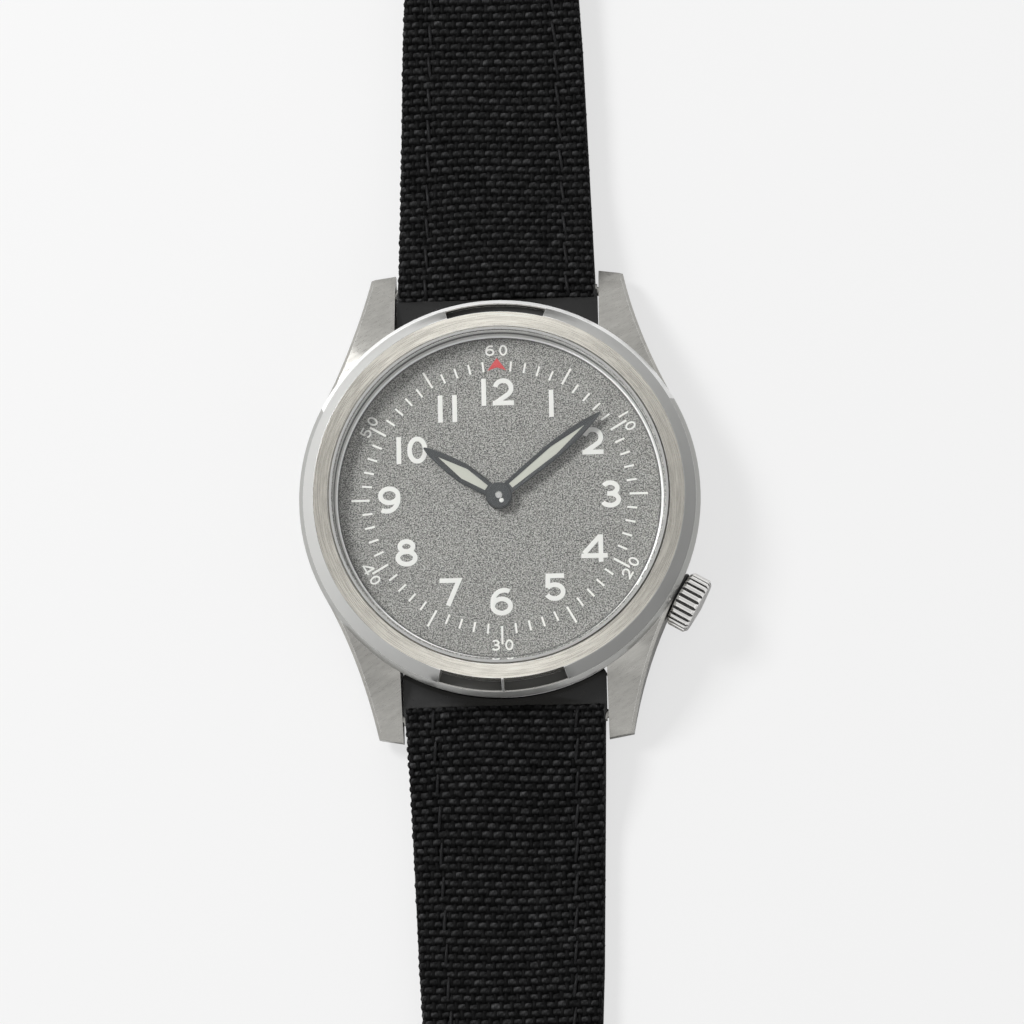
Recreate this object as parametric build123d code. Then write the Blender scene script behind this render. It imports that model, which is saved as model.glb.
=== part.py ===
from build123d import *
import math
import os

# Field watch, in millimetres. Dial up (+Z), 12 o'clock towards +Y, 3 o'clock towards +X.
# The origin is the centre of the case back's flat outer face. The strap lies open and flat.

os.makedirs("parts", exist_ok=True)

# Case, as seen from above
lug_gap = 20.4
case_radius = 19.88
bezel_foot_inset = 0.43
bezel_flank_width = 0.95
bezel_bore_radius = 16.75
dial_view_radius = 15.95
lug_overhang = 3.77
lug_tip_width = 2.45
lug_tip_slant = 0.42
lug_root_angle = 28.5
lug_outer_bevel = 0.3
lug_inner_bevel = 0.1

# Case, heights above the case back's outer face
back_flange_height = 1.0
back_spigot_height = 0.6
chamber_floor_z = 2.1
dial_seat_z = 6.5
case_shoulder_z = 7.6
case_rim_drop = 0.6
collar_height = 1.05
bezel_height = 1.6
bezel_lip_height = 0.2
shadow_gap = 0.1
shadow_depth = 0.25

# Case, inner radii and walls
chamber_radius = 15.6
dial_bore_radius = 16.85
collar_wall = 0.75
bezel_fit = 0.05
back_opening_radius = 16.25
back_flange_radius = 17.6
back_spigot_fit = 0.05
case_base_inset = 1.68
case_waist_inset = 0.58
case_waist_z = 3.0
case_waist_height = 0.4
case_belly_z = 6.5

# Lugs, seen from the side
lug_top_length = 11.65
lug_top_mid_length = 4.05
lug_top_mid_z = 5.0
lug_top_end_z = 2.0
lug_foot_z = 0.9
lug_corner_radius = 0.9

# Bezel notches at 12 and 6 o'clock
notch_depth = 1.15
top_notch_half_angle = 15.0
bottom_notch_half_angle = 19.3
notch_rib_width = 0.2
notch_floor_drop = 0.8
notch_rim_width = 0.12
bezel_edge_bevel = 0.15

# Case back
back_edge_bevel = 0.5
back_notch_count = 6
back_notch_width = 3.0
back_notch_depth = 1.0
back_notch_height = 0.6
gasket_groove_radius = 16.75
gasket_width = 0.45
gasket_height = 0.4

# Crystal, its gasket and the ring below it
crystal_radius = 16.5
crystal_edge_height = 0.5
crystal_dome = 0.6
crystal_bevel = 0.15
inner_ring_fit = 0.05
inner_ring_top_radius = 16.4
inner_ring_foot_width = 0.14
inner_ring_foot_height = 0.12

# Dial
dial_thickness = 0.4
dial_fit = 0.1
dial_hole_radius = 0.95
dial_foot_radius = 0.35
dial_foot_length = 1.2
dial_foot_reach = 10.9
dial_foot_angle = 62.0

# Hands, from their axis outward
hour_hand_length = 8.9
hour_hand_half_width = 0.87
hour_hand_boss_radius = 1.3
hour_hand_angle = 304.3
minute_hand_length = 13.0
minute_hand_half_width = 0.75
minute_hand_boss_radius = 1.28
minute_hand_angle = 51.6
hand_thickness = 0.16
hand_root_half_width = 0.54
hand_tip_half_width = 0.12
hour_hand_z = 7.3
hand_gap = 0.34
boss_height = 0.34
boss_bevel = 0.08
lume_thickness = 0.1
lume_root = 1.5
lume_root_half_width = 0.28
lume_tip_half_width = 0.03
hour_lume_length = 7.15
hour_lume_half_width = 0.56
minute_lume_length = 10.85
minute_lume_half_width = 0.47
hour_hand_widest_share = 0.46
minute_hand_widest_share = 0.57
hand_tip_share = 0.985

# Movement: plates
movement_radius = 12.8
holder_fit = 0.05
holder_wall_fit = 0.1
holder_back_gap = 0.1
plate_thickness = 0.8
plate_top_z = 5.7
bridge_thickness = 0.5
bridge_bottom_z = 2.5
bridge_margin = 0.2
board_thickness = 0.25
board_margin = 0.5
board_edge = 3.0
pillar_radius = 0.9
screw_radius = 0.3
screw_head_radius = 0.65
screw_head_height = 0.3
screw_slot_width = 0.16
screw_slot_depth = 0.12
screw_fit = 0.02
screw_grip = 2.6
pillar_places = ((11.4, 35.0), (11.4, 140.0), (11.2, 255.0), (10.6, 308.0))

# Movement: battery and motor
battery_radius = 4.75
battery_height = 2.0
battery_reach = 7.6
battery_angle = 190.0
battery_fit = 0.2
battery_step_radius = 3.9
battery_step_height = 0.3
clamp_width = 2.2
clamp_reach = 6.4
coil_radius = 0.6
coil_core_width = 0.7
coil_core_height = 0.4
coil_start = (3.5, 10.1)
coil_end = (-5.2, 10.4)
coil_end_margin = 1.1
stator_height = 0.4
stator_arm_width = 1.1
stator_hub_radius = 1.7
stator_bore_radius = 1.05
stator_gap = 0.05
rotor_magnet_radius = 0.85
rotor_magnet_height = 0.35
oscillator_radius = 0.7
oscillator_length = 4.6
oscillator_reach = 9.4
oscillator_angle = 285.0
chip_side = 2.6
chip_height = 0.5
chip_reach = 7.0
chip_angle = 268.0

# Movement: wheels. Arbors turn in plain holes.
arbor_radius = 0.2
running_fit = 0.04
arbor_end_gap = 0.05
center_arbor_radius = 0.35
arbor_top_z = 8.35
wheel_thickness = 0.25
wheel_hub_radius = 0.45
wheel_rim_width = 0.55
spoke_width = 0.45
spoke_count = 4
tooth_addendum_share = 0.7
tooth_dedendum_share = 1.1
tooth_root_share = 0.5
tooth_tip_share = 0.16
center_level_z = 4.5
third_level_z = 4.05
step_level_z = 3.55
pinion_height = 0.37
center_module = 0.16
third_module = 0.13
step_module = 0.11
motion_module = 0.12
center_teeth = 30
third_pinion_teeth = 10
third_teeth = 40
step_pinion_teeth = 8
step_teeth = 48
rotor_teeth = 8
cannon_teeth = 12
minute_wheel_teeth = 36
minute_pinion_teeth = 10
hour_wheel_teeth = 40
third_angle = 80.0
step_angle = 10.0
rotor_angle = 60.0
motion_angle = 230.0
motion_gap = 0.1
cannon_radius = 0.5
cannon_top_z = 7.6
hour_tube_radius = 0.85
hour_tube_top_z = 7.46
hour_pinion_gap = 0.1

# Crown and stem, along the 4 o'clock axis
crown_angle = -30.0
crown_z = 4.4
crown_radius = 2.85
crown_rib_rise = 0.28
crown_gap = 0.27
crown_length = 2.5
crown_ribs = 24
crown_rib_share = 0.3
crown_dome = 0.25
crown_bevel = 0.3
crown_recess_radius = 1.8
crown_recess_depth = 1.75
crown_pull = 1.2
tube_radius = 1.25
tube_start = 16.95
tube_overhang = 0.87
crown_seal_thickness = 0.45
crown_seal_fit = 0.04
crown_seal_setback = 0.4
crown_stem_grip = 0.4
stem_radius = 0.45
stem_fit = 0.04
stem_start = 5.4
clutch_module = 0.142
clutch_start = 5.9
clutch_length = 1.3
clutch_teeth = 12
clutch_slot_width = 2.3
clutch_slot_margin = 0.25
holder_stem_hole_radius = 0.65

# Spring bars in the lugs
bar_overhang = 1.42
bar_z = 3.0
bar_radius = 0.9
bar_tip_radius = 0.45
bar_tip_length = 0.95
bar_tip_fit = 0.05
bar_shoulder_gap = 0.15
bar_collar_radius = 0.75
bar_collar_length = 0.8
bar_tip_travel = 0.8
bar_socket_margin = 0.15
bar_bore_depth = 2.6

# Strap
strap_width = 19.8
strap_mid_width = 18.3
strap_end_width = 16.0
strap_mid_reach = 25.0
strap_end_reach = 48.0
canvas_thickness = 0.9
filler_thickness = 0.4
lining_thickness = 0.9
strap_loop_radius = 1.6
strap_loop_fit = 0.05
strap_shoulder_rise = 0.3
strap_top_landing = 13.0
strap_bottom_landing = 7.5
canvas_start = 0.5
filler_start = 1.5
horn_gap = 0.22
horn_top_z = 4.3
horn_bottom_z = 2.1
horn_fit = 0.15
horn_depth = 4.8
buckle_half_length = 78.0
tail_half_length = 118.0
tail_point_length = 11.0
tail_point_share = 0.62
tail_bend_share = 0.72
tail_hole_radius = 1.05
tail_hole_count = 8
tail_hole_pitch = 6.6
tail_hole_setback = 27.0
buckle_half_lift = 1.0

# Keepers
keeper_thickness = 0.85
keeper_width = 5.4
keeper_side_gap = 0.3
keeper_slack = 0.5
keeper_corner_radius = 1.2
fixed_keeper_setback = 5.1
keeper_spacing = 1.6
free_keeper_fit = 0.1

# Buckle
buckle_bar_radius = 0.75
buckle_loop_radius = 1.45
buckle_loop_fit = 0.05
buckle_side_gap = 0.35
buckle_arm_width = 2.0
buckle_reach = 11.5
buckle_front_width = 2.4
buckle_thickness = 2.2
buckle_heel = 1.9
buckle_corner_radius = 3.2
buckle_edge_radius = 0.45
buckle_bar_hole_depth = 1.1
buckle_rest_gap = 0.15
tongue_width = 1.8
tongue_thickness = 1.3
tongue_ring_radius = 1.4
tongue_ring_fit = 0.05
tongue_slot_width = 2.6
tongue_slot_length = 7.0
tongue_overhang = 0.7
tongue_tip_thickness = 0.8
tongue_rest_gap = 0.05
tongue_seat_depth = 0.5
tongue_seat_gap = 0.25

# One overrun serves every cut
overrun = 1.0

# How far a face leans before it counts as an upper or an outer one
upward_share = 0.1
sideways_share = 0.75

# Sizes that follow from those above
bezel_base_radius = case_radius - bezel_foot_inset
bezel_face_radius = bezel_base_radius - bezel_flank_width
notch_wall_radius = bezel_base_radius - notch_depth
case_base_radius = case_radius - case_base_inset
case_waist_radius = case_radius - case_waist_inset
lug_reach = case_radius + lug_overhang
lug_top_start = lug_reach - lug_top_length
lug_top_mid_y = lug_reach - lug_top_mid_length
crown_start = case_radius + crown_gap
tube_end = case_radius + tube_overhang
bar_reach = case_radius + bar_overhang
fixed_keeper_reach = buckle_half_length - fixed_keeper_setback - keeper_width
free_keeper_reach = fixed_keeper_reach - keeper_spacing - keeper_width
half_gap = lug_gap / 2
bezel_top_z = case_shoulder_z + bezel_height
collar_top_z = case_shoulder_z + collar_height
collar_radius = dial_bore_radius + collar_wall
crystal_seat_z = collar_top_z + bezel_fit + bezel_lip_height
case_base_z = back_flange_height
dial_radius = dial_bore_radius - dial_fit
dial_top_z = dial_seat_z + dial_thickness
minute_hand_z = hour_hand_z + hand_gap + hand_thickness
bridge_top_z = bridge_bottom_z + bridge_thickness
plate_bottom_z = plate_top_z - plate_thickness
strap_thickness = canvas_thickness + filler_thickness + lining_thickness
buckle_bar_reach = bar_reach + buckle_half_length
buckle_bar_z = buckle_half_lift + strap_thickness / 2
crown_direction = Rot(0, 0, crown_angle)
clutch_radius = clutch_module * (clutch_teeth / 2 + tooth_addendum_share)


def ring(outer, inner, low, high):
    """A plain ring about Z between two heights."""
    face = Circle(outer) - Circle(inner)
    return Pos(0, 0, low) * extrude(face, high - low)


def disc(radius, low, high):
    """A plain disc about Z between two heights."""
    return Pos(0, 0, low) * extrude(Circle(radius), high - low)


def turned(points):
    """Revolve an outline of (radius, height) points about Z."""
    outline = make_face(Polyline(*points, close=True))
    return revolve(Plane.XZ * outline, Axis.Z)


def polar(place, angle):
    """X and Y of a place given by its distance and direction from the dial centre."""
    turn = math.radians(angle)
    return (place * math.cos(turn), place * math.sin(turn))


def rod_x(radius, start, end, y, z):
    """A round rod along X."""
    return Pos(start, y, z) * (Rot(0, 90, 0) * extrude(Circle(radius), end - start))


def side_slab(face, start, end):
    """Extrude an outline drawn as (y, z) along X from start to end."""
    drawn = Plane((0, 0, 0), x_dir=(0, 1, 0), z_dir=(1, 0, 0)) * face
    return Pos(start, 0, 0) * extrude(drawn, end - start)


def save(name, shape, color):
    """Write one named sub-part."""
    shape.label = name
    shape.color = Color(*color)
    export_step(shape, f"parts/{name}.step")


steel = (0.72, 0.71, 0.68)
dark_steel = (0.5, 0.5, 0.5)
brass = (0.78, 0.62, 0.3)
black_cloth = (0.05, 0.05, 0.05)
black_leather = (0.1, 0.09, 0.09)
slate = (0.2, 0.22, 0.23)
cream = (0.85, 0.84, 0.8)
grey_dial = (0.5, 0.5, 0.48)
black_rubber = (0.03, 0.03, 0.03)
clear = (0.85, 0.9, 0.95)
white_plastic = (0.9, 0.9, 0.88)
green_board = (0.1, 0.3, 0.15)
copper = (0.75, 0.4, 0.2)


# Case middle: a turned ring with four lugs
def lug_plan():
    """One lug's outline from above, in the quarter where X and Y are positive."""
    root = Vector(*polar(case_radius, lug_root_angle))
    tip_in = Vector(half_gap, lug_reach)
    tip_out = Vector(half_gap + lug_tip_width, lug_reach - lug_tip_slant)
    edges = [
        TangentArc(root, tip_out, tangent=Vector(-root.Y, root.X)),
        Line(tip_out, tip_in),
        Line(tip_in, (half_gap, root.Y)),
        Line((half_gap, root.Y), root),
    ]
    return make_face(edges)


def lug_side():
    """The lugs' side outline as (y, z), over the whole length of the case."""
    rim_z = case_shoulder_z - case_rim_drop
    top = ThreePointArc((lug_top_start, rim_z), (lug_top_mid_y, lug_top_mid_z), (lug_reach, lug_top_end_z))
    rest = Polyline(
        (lug_reach, lug_top_end_z),
        (lug_reach, lug_foot_z),
        (lug_reach - lug_corner_radius, lug_foot_z),
        (lug_top_start, case_base_z),
        (0, case_base_z),
        (0, rim_z),
        (lug_top_start, rim_z),
    )
    return make_face([top, *rest.edges()])


def edges_between(upper, sides):
    """The edges that the upper faces share with the given side faces."""
    upper_edges = [edge for face in upper for edge in face.edges()]
    side_edges = [edge for face in sides for edge in face.edges()]
    return [edge for edge in upper_edges if any(edge.is_same(other) for other in side_edges)]


def build_lug():
    """One lug with its bright bevels, wide along the outer edge and narrow elsewhere."""
    height = case_shoulder_z - case_base_z
    lug = Pos(0, 0, case_base_z) * extrude(lug_plan(), height)
    lug &= side_slab(lug_side(), 0, case_radius)
    for bevel, direction in ((lug_outer_bevel, Axis.X), (lug_inner_bevel, Axis.Y)):
        normals = [(face, face.normal_at()) for face in lug.faces()]
        upper = [face for face, normal in normals if normal.Z > upward_share]
        sides = [face for face, normal in normals if normal.dot(direction.direction) > sideways_share]
        lug = chamfer(edges_between(upper, sides), bevel)
    return lug


def notches(outer, low, high):
    """What the notches at 12 and 6 take out, from the notch wall to an outer radius."""
    cuts = []
    for angle, half_angle in ((90, top_notch_half_angle), (-90, bottom_notch_half_angle)):
        sector = make_face(Polyline(
            (0, 0),
            polar(case_radius * 2, angle - half_angle),
            polar(case_radius * 2, angle + half_angle),
            close=True,
        ))
        sector = sector & (Circle(outer) - Circle(notch_wall_radius))
        cuts.append(Pos(0, 0, low) * extrude(sector, high - low))
    rib = Pos(0, -bezel_face_radius, low) * Box(notch_rib_width, bezel_height * 2, (high - low) * 2)
    return cuts[0], cuts[1] - rib


def build_mid_case():
    """The case middle with its lugs, chamber, crown tube hole and spring bar holes."""
    body = turned([
        (0, case_base_z),
        (case_base_radius, case_base_z),
        (case_waist_radius, case_waist_z - case_waist_height / 2),
        (case_waist_radius, case_waist_z + case_waist_height / 2),
        (case_radius, case_belly_z),
        (case_radius, case_shoulder_z - case_rim_drop),
        (bezel_base_radius, case_shoulder_z),
        (collar_radius, case_shoulder_z),
        (collar_radius, collar_top_z),
        (0, collar_top_z),
    ])
    lug = build_lug()
    right = lug + mirror(lug, Plane.XZ)
    body += right + mirror(right, Plane.YZ)
    body -= disc(back_opening_radius, case_base_z, chamber_floor_z)
    body -= disc(chamber_radius, chamber_floor_z, dial_seat_z)
    body -= disc(dial_bore_radius, dial_seat_z, collar_top_z)
    groove_out = gasket_groove_radius + gasket_width
    body -= ring(groove_out, gasket_groove_radius, case_base_z, case_base_z + gasket_height)
    pocket_floor = case_shoulder_z - notch_floor_drop
    top_pocket, bottom_pocket = notches(bezel_base_radius - notch_rim_width, pocket_floor, case_shoulder_z)
    body -= top_pocket
    body -= bottom_pocket
    tube_hole = Pos(0, 0, crown_z) * rod_x(tube_radius, chamber_radius - overrun, case_radius + overrun, 0, 0)
    body -= crown_direction * tube_hole
    hole_end = half_gap + bar_tip_length + bar_socket_margin
    hole_radius = bar_tip_radius + bar_tip_fit
    for side in (-1, 1):
        body -= rod_x(hole_radius, -hole_end, hole_end, side * bar_reach, bar_z)
    return body


def build_bezel():
    """The bezel: a flat face, a steep flank and one notch at each end."""
    lip_radius = inner_ring_top_radius + bezel_fit
    recess_radius = collar_radius + bezel_fit
    foot_radius = bezel_base_radius - shadow_depth
    body = turned([
        (bezel_bore_radius, crystal_seat_z),
        (bezel_bore_radius, bezel_top_z - bezel_edge_bevel),
        (bezel_bore_radius + bezel_edge_bevel, bezel_top_z),
        (bezel_face_radius - bezel_edge_bevel, bezel_top_z),
        (bezel_face_radius, bezel_top_z - bezel_edge_bevel),
        (bezel_base_radius, case_shoulder_z + shadow_gap),
        (foot_radius, case_shoulder_z + shadow_gap),
        (foot_radius, case_shoulder_z),
        (recess_radius, case_shoulder_z),
        (recess_radius, collar_top_z + bezel_fit),
        (lip_radius, collar_top_z + bezel_fit),
        (lip_radius, crystal_seat_z),
    ])
    top_cut, bottom_cut = notches(bezel_base_radius + overrun, case_shoulder_z, bezel_top_z)
    return body - top_cut - bottom_cut


def build_case_back():
    """The screwed case back with six key notches."""
    body = disc(back_flange_radius, 0, back_flange_height)
    body = chamfer(body.edges().group_by(Axis.Z)[0], back_edge_bevel)
    spigot_radius = back_opening_radius - back_spigot_fit
    body += disc(spigot_radius, back_flange_height, back_flange_height + back_spigot_height)
    key = Box(back_notch_depth * 2, back_notch_width, back_notch_height * 2)
    for index in range(back_notch_count):
        turn = Rot(0, 0, 360 * (index + 0.5) / back_notch_count)
        body -= turn * (Pos(back_flange_radius, 0, 0) * key)
    return body


def build_crystal():
    """The domed crystal with a bevelled edge."""
    edge_z = crystal_seat_z + crystal_edge_height
    shoulder = crystal_radius - crystal_bevel
    top_z = edge_z + crystal_bevel
    outline = [
        Line((0, crystal_seat_z), (crystal_radius, crystal_seat_z)),
        Line((crystal_radius, crystal_seat_z), (crystal_radius, edge_z)),
        Line((crystal_radius, edge_z), (shoulder, top_z)),
    ]
    dome_radius = (shoulder ** 2 + crystal_dome ** 2) / (2 * crystal_dome)
    middle_x = shoulder / 2
    middle_z = top_z + crystal_dome - dome_radius + math.sqrt(dome_radius ** 2 - middle_x ** 2)
    outline.append(ThreePointArc((shoulder, top_z), (middle_x, middle_z), (0, top_z + crystal_dome)))
    outline.append(Line((0, top_z + crystal_dome), (0, crystal_seat_z)))
    return revolve(Plane.XZ * make_face(outline), Axis.Z)


def build_inner_ring():
    """The polished sloping ring between the dial and the crystal."""
    outer = dial_bore_radius - inner_ring_fit
    return turned([
        (dial_view_radius, dial_top_z),
        (outer, dial_top_z),
        (outer, collar_top_z),
        (inner_ring_top_radius, collar_top_z),
        (dial_view_radius + inner_ring_foot_width, dial_top_z + inner_ring_foot_height),
        (dial_view_radius, dial_top_z + inner_ring_foot_height),
    ])


def dial_feet_places():
    """Where the two dial feet go through the main plate."""
    return [polar(dial_foot_reach, dial_foot_angle), polar(dial_foot_reach, dial_foot_angle + 180)]


def build_dial():
    """The dial with its centre hole and two feet."""
    body = disc(dial_radius, dial_seat_z, dial_top_z) - disc(dial_hole_radius, dial_seat_z, dial_top_z)
    for x, y in dial_feet_places():
        body += Pos(x, y, 0) * disc(dial_foot_radius, dial_seat_z - dial_foot_length, dial_seat_z)
    return body


def blade(root_half, widest, half_width, end, tip_half, tip, start):
    """A lance outline along +Y, the same on both sides."""
    right = [(root_half, start), (half_width, widest), (tip_half, end)]
    left = [(-x, y) for x, y in reversed(right)]
    points = right + ([(0, tip)] if tip > end else []) + left
    return make_face(Polyline(*points, close=True))


def hand_outlines(length, half_width, widest_share, lume_length, lume_half_width):
    """The blade of a hand and the window that its lume fills."""
    widest = length * widest_share
    outer = blade(hand_root_half_width, widest, half_width, length * hand_tip_share,
                  hand_tip_half_width, length, 0)
    window = blade(lume_root_half_width, widest, lume_half_width, lume_length,
                   lume_tip_half_width, lume_length, lume_root)
    return outer, window


def build_hand(outlines, boss_radius, hole_radius, low, top):
    """A hand with its raised round boss, pierced for its pipe."""
    outer, window = outlines
    body = Pos(0, 0, low) * extrude(outer - window, hand_thickness)
    boss = disc(boss_radius, low, top)
    boss = chamfer(boss.edges().group_by(Axis.Z)[-1], boss_bevel)
    body += boss
    return body - disc(hole_radius, low, top)


def build_lume(outlines, low):
    """The lume that fills a hand's window."""
    return Pos(0, 0, low + (hand_thickness - lume_thickness) / 2) * extrude(outlines[1], lume_thickness)


# Movement: wheels
def gear_face(teeth, module, tooth_angle):
    """A toothed outline with one tooth centred on the given angle."""
    pitch_radius = module * teeth / 2
    root_radius = pitch_radius - module * tooth_dedendum_share
    tip_radius = pitch_radius + module * tooth_addendum_share
    pitch_angle = 360 / teeth
    shape = ((root_radius, -tooth_root_share), (tip_radius, -tooth_tip_share),
             (tip_radius, tooth_tip_share), (root_radius, tooth_root_share))
    points = []
    for index in range(teeth):
        middle = tooth_angle + index * pitch_angle
        points += [polar(radius, middle + share * pitch_angle / 2) for radius, share in shape]
    return make_face(Polyline(*points, close=True))


def gear(teeth, module, tooth_angle, low, high):
    """A solid gear between two heights."""
    return Pos(0, 0, low) * extrude(gear_face(teeth, module, tooth_angle), high - low)


def spoked(wheel, teeth, module, low, high):
    """Cut the windows between the spokes of a large wheel."""
    outer = module * teeth / 2 - module * tooth_dedendum_share - wheel_rim_width
    window = ring(outer, wheel_hub_radius + spoke_width / 2, low, high)
    for index in range(spoke_count // 2):
        bar = Box(outer * 2, spoke_width, high - low)
        window -= Rot(0, 0, 180 * index / (spoke_count // 2)) * (Pos(0, 0, (low + high) / 2) * bar)
    return wheel - window


def step_from(place, distance, angle):
    """The place at a distance and direction from another place."""
    x, y = polar(distance, angle)
    return (place[0] + x, place[1] + y)


third_place = polar(center_module * (center_teeth + third_pinion_teeth) / 2, third_angle)
step_place = step_from(third_place, third_module * (third_teeth + step_pinion_teeth) / 2, step_angle)
rotor_place = step_from(step_place, step_module * (step_teeth + rotor_teeth) / 2, rotor_angle)
motion_distance = motion_module * (cannon_teeth + minute_wheel_teeth) / 2
motion_place = polar(motion_distance, motion_angle)
hour_module = motion_distance * 2 / (minute_pinion_teeth + hour_wheel_teeth)
motion_low = plate_top_z + motion_gap
motion_mid = motion_low + wheel_thickness
hour_low = motion_mid + hour_pinion_gap
hour_high = hour_low + wheel_thickness
arbor_low = bridge_bottom_z + arbor_end_gap
arbor_high = plate_top_z - arbor_end_gap


def meshing(teeth, angle):
    """The tooth angle that puts a gap where the other wheel, at this angle from it, has a tooth."""
    return angle + 180 + 180 / teeth


def train_arbor():
    """A plain arbor that turns in the main plate and the train bridge."""
    return disc(arbor_radius, arbor_low, arbor_high)


def build_center_wheel():
    """The centre wheel on its long arbor, whose end shows in the middle of the hands."""
    high = center_level_z + wheel_thickness
    wheel = gear(center_teeth, center_module, third_angle, center_level_z, high)
    wheel = spoked(wheel, center_teeth, center_module, center_level_z, high)
    arbor = disc(center_arbor_radius, arbor_low, arbor_top_z)
    arbor = chamfer(arbor.edges().group_by(Axis.Z)[-1], boss_bevel)
    return wheel + arbor


def build_cannon_pinion():
    """The cannon pinion, pressed on the centre arbor; it carries the minute hand."""
    body = gear(cannon_teeth, motion_module, motion_angle, motion_low, motion_mid)
    body += disc(cannon_radius, motion_mid, cannon_top_z)
    return body - disc(center_arbor_radius, motion_low, cannon_top_z)


def build_hour_wheel():
    """The hour wheel and its pipe, loose on the cannon pinion."""
    turn = meshing(hour_wheel_teeth, motion_angle + 180)
    body = gear(hour_wheel_teeth, hour_module, turn, hour_low, hour_high)
    body += disc(hour_tube_radius, hour_low, hour_tube_top_z)
    return body - disc(cannon_radius + running_fit, hour_low, hour_tube_top_z)


def build_minute_wheel():
    """The minute wheel and its pinion, loose on a stud of the main plate."""
    wheel = gear(minute_wheel_teeth, motion_module, meshing(minute_wheel_teeth, motion_angle),
                 motion_low, motion_mid)
    pinion = gear(minute_pinion_teeth, hour_module, motion_angle + 180, motion_mid, hour_high)
    body = wheel + pinion - disc(arbor_radius + running_fit, motion_low, hour_high)
    return Pos(*motion_place, 0) * body


def build_third_wheel():
    """The third wheel and its pinion."""
    high = third_level_z + wheel_thickness
    wheel = gear(third_teeth, third_module, step_angle, third_level_z, high)
    wheel = spoked(wheel, third_teeth, third_module, third_level_z, high)
    pinion = gear(third_pinion_teeth, center_module, meshing(third_pinion_teeth, third_angle),
                  high, high + pinion_height + wheel_thickness / 2)
    return Pos(*third_place, 0) * (wheel + pinion + train_arbor())


def build_step_wheel():
    """The intermediate wheel and its pinion."""
    high = step_level_z + wheel_thickness
    wheel = gear(step_teeth, step_module, rotor_angle, step_level_z, high)
    wheel = spoked(wheel, step_teeth, step_module, step_level_z, high)
    pinion = gear(step_pinion_teeth, third_module, meshing(step_pinion_teeth, step_angle),
                  high, high + pinion_height + wheel_thickness / 2)
    return Pos(*step_place, 0) * (wheel + pinion + train_arbor())


def build_rotor():
    """The motor's rotor: a round magnet under a small pinion."""
    low = bridge_top_z + stator_gap
    magnet_top = low + rotor_magnet_height
    pinion = gear(rotor_teeth, step_module, meshing(rotor_teeth, rotor_angle),
                  magnet_top, step_level_z + pinion_height)
    return Pos(*rotor_place, 0) * (disc(rotor_magnet_radius, low, magnet_top) + pinion + train_arbor())


# Movement: plates and electrics
def train_holes(low, high):
    """The running holes for the train's arbors, between two heights."""
    holes = disc(center_arbor_radius + running_fit, low, high)
    for x, y in (third_place, step_place, rotor_place):
        holes += Pos(x, y, 0) * disc(arbor_radius + running_fit, low, high)
    return holes


def battery_cut(radius, low, high):
    """The round space that the battery takes."""
    return Pos(*polar(battery_reach, battery_angle), 0) * disc(radius, low, high)


def screw_holes(low, high):
    """The holes for the bridge screws, between two heights."""
    holes = Part()
    for place, angle in pillar_places:
        holes += Pos(*polar(place, angle), 0) * disc(screw_radius + screw_fit, low, high)
    return holes


def build_main_plate():
    """The main plate with its pillars, the minute wheel's stud and the clutch slot."""
    body = disc(movement_radius, plate_bottom_z, plate_top_z)
    for place, angle in pillar_places:
        body += Pos(*polar(place, angle), 0) * disc(pillar_radius, bridge_top_z, plate_bottom_z)
    body += Pos(*motion_place, 0) * disc(arbor_radius, plate_top_z, hour_high)
    body -= train_holes(plate_bottom_z, plate_top_z)
    body -= screw_holes(bridge_top_z, bridge_bottom_z + screw_grip + screw_fit)
    for x, y in dial_feet_places():
        body -= Pos(x, y, 0) * disc(dial_foot_radius + holder_fit, plate_bottom_z, plate_top_z)
    slot_start = clutch_start - clutch_slot_margin
    slot_end = clutch_start + clutch_length + crown_pull + clutch_slot_margin
    slot = Pos((slot_start + slot_end) / 2, 0, crown_z)
    slot *= Box(slot_end - slot_start, clutch_slot_width, (clutch_radius + clutch_slot_margin) * 2)
    return body - crown_direction * slot


def build_train_bridge():
    """The bridge under the train, open where the battery goes in."""
    body = disc(movement_radius - bridge_margin, bridge_bottom_z, bridge_top_z)
    body -= battery_cut(battery_radius + battery_fit, bridge_bottom_z, bridge_top_z)
    body -= train_holes(bridge_bottom_z, bridge_top_z)
    return body - screw_holes(bridge_bottom_z, bridge_top_z)


def build_circuit_board():
    """The circuit board, a half moon on the outside of the bridge, with its sealed chip."""
    low = bridge_bottom_z - board_thickness
    half = Pos(0, -movement_radius - board_edge) * Rectangle(movement_radius * 2, movement_radius * 2)
    face = Circle(movement_radius - board_margin) & half
    body = Pos(0, 0, low) * extrude(face, board_thickness)
    body -= battery_cut(battery_radius + battery_fit, low, bridge_bottom_z)
    body -= clamp_strip(bridge_margin)
    clear_radius = screw_head_radius + bridge_margin
    for place, angle in pillar_places:
        body -= Pos(*polar(place, angle), 0) * disc(clear_radius, low, bridge_bottom_z)
    chip = Pos(*polar(chip_reach, chip_angle), low - chip_height / 2)
    return body + chip * Box(chip_side, chip_side, chip_height)


def build_battery():
    """The button cell: a wide can and its smaller cap towards the case back."""
    step_z = bridge_bottom_z + battery_step_height
    body = battery_cut(battery_radius, step_z, bridge_bottom_z + battery_height)
    return body + battery_cut(battery_step_radius, bridge_bottom_z, step_z)


def clamp_strip(margin):
    """The spring strip that holds the battery in, grown all round by a margin."""
    x, y = polar(battery_reach, battery_angle)
    strip = Box(clamp_width + margin * 2, (clamp_reach + margin) * 2, board_thickness)
    return Pos(x, y, bridge_bottom_z - board_thickness / 2) * (Rot(0, 0, battery_angle) * strip)


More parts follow.
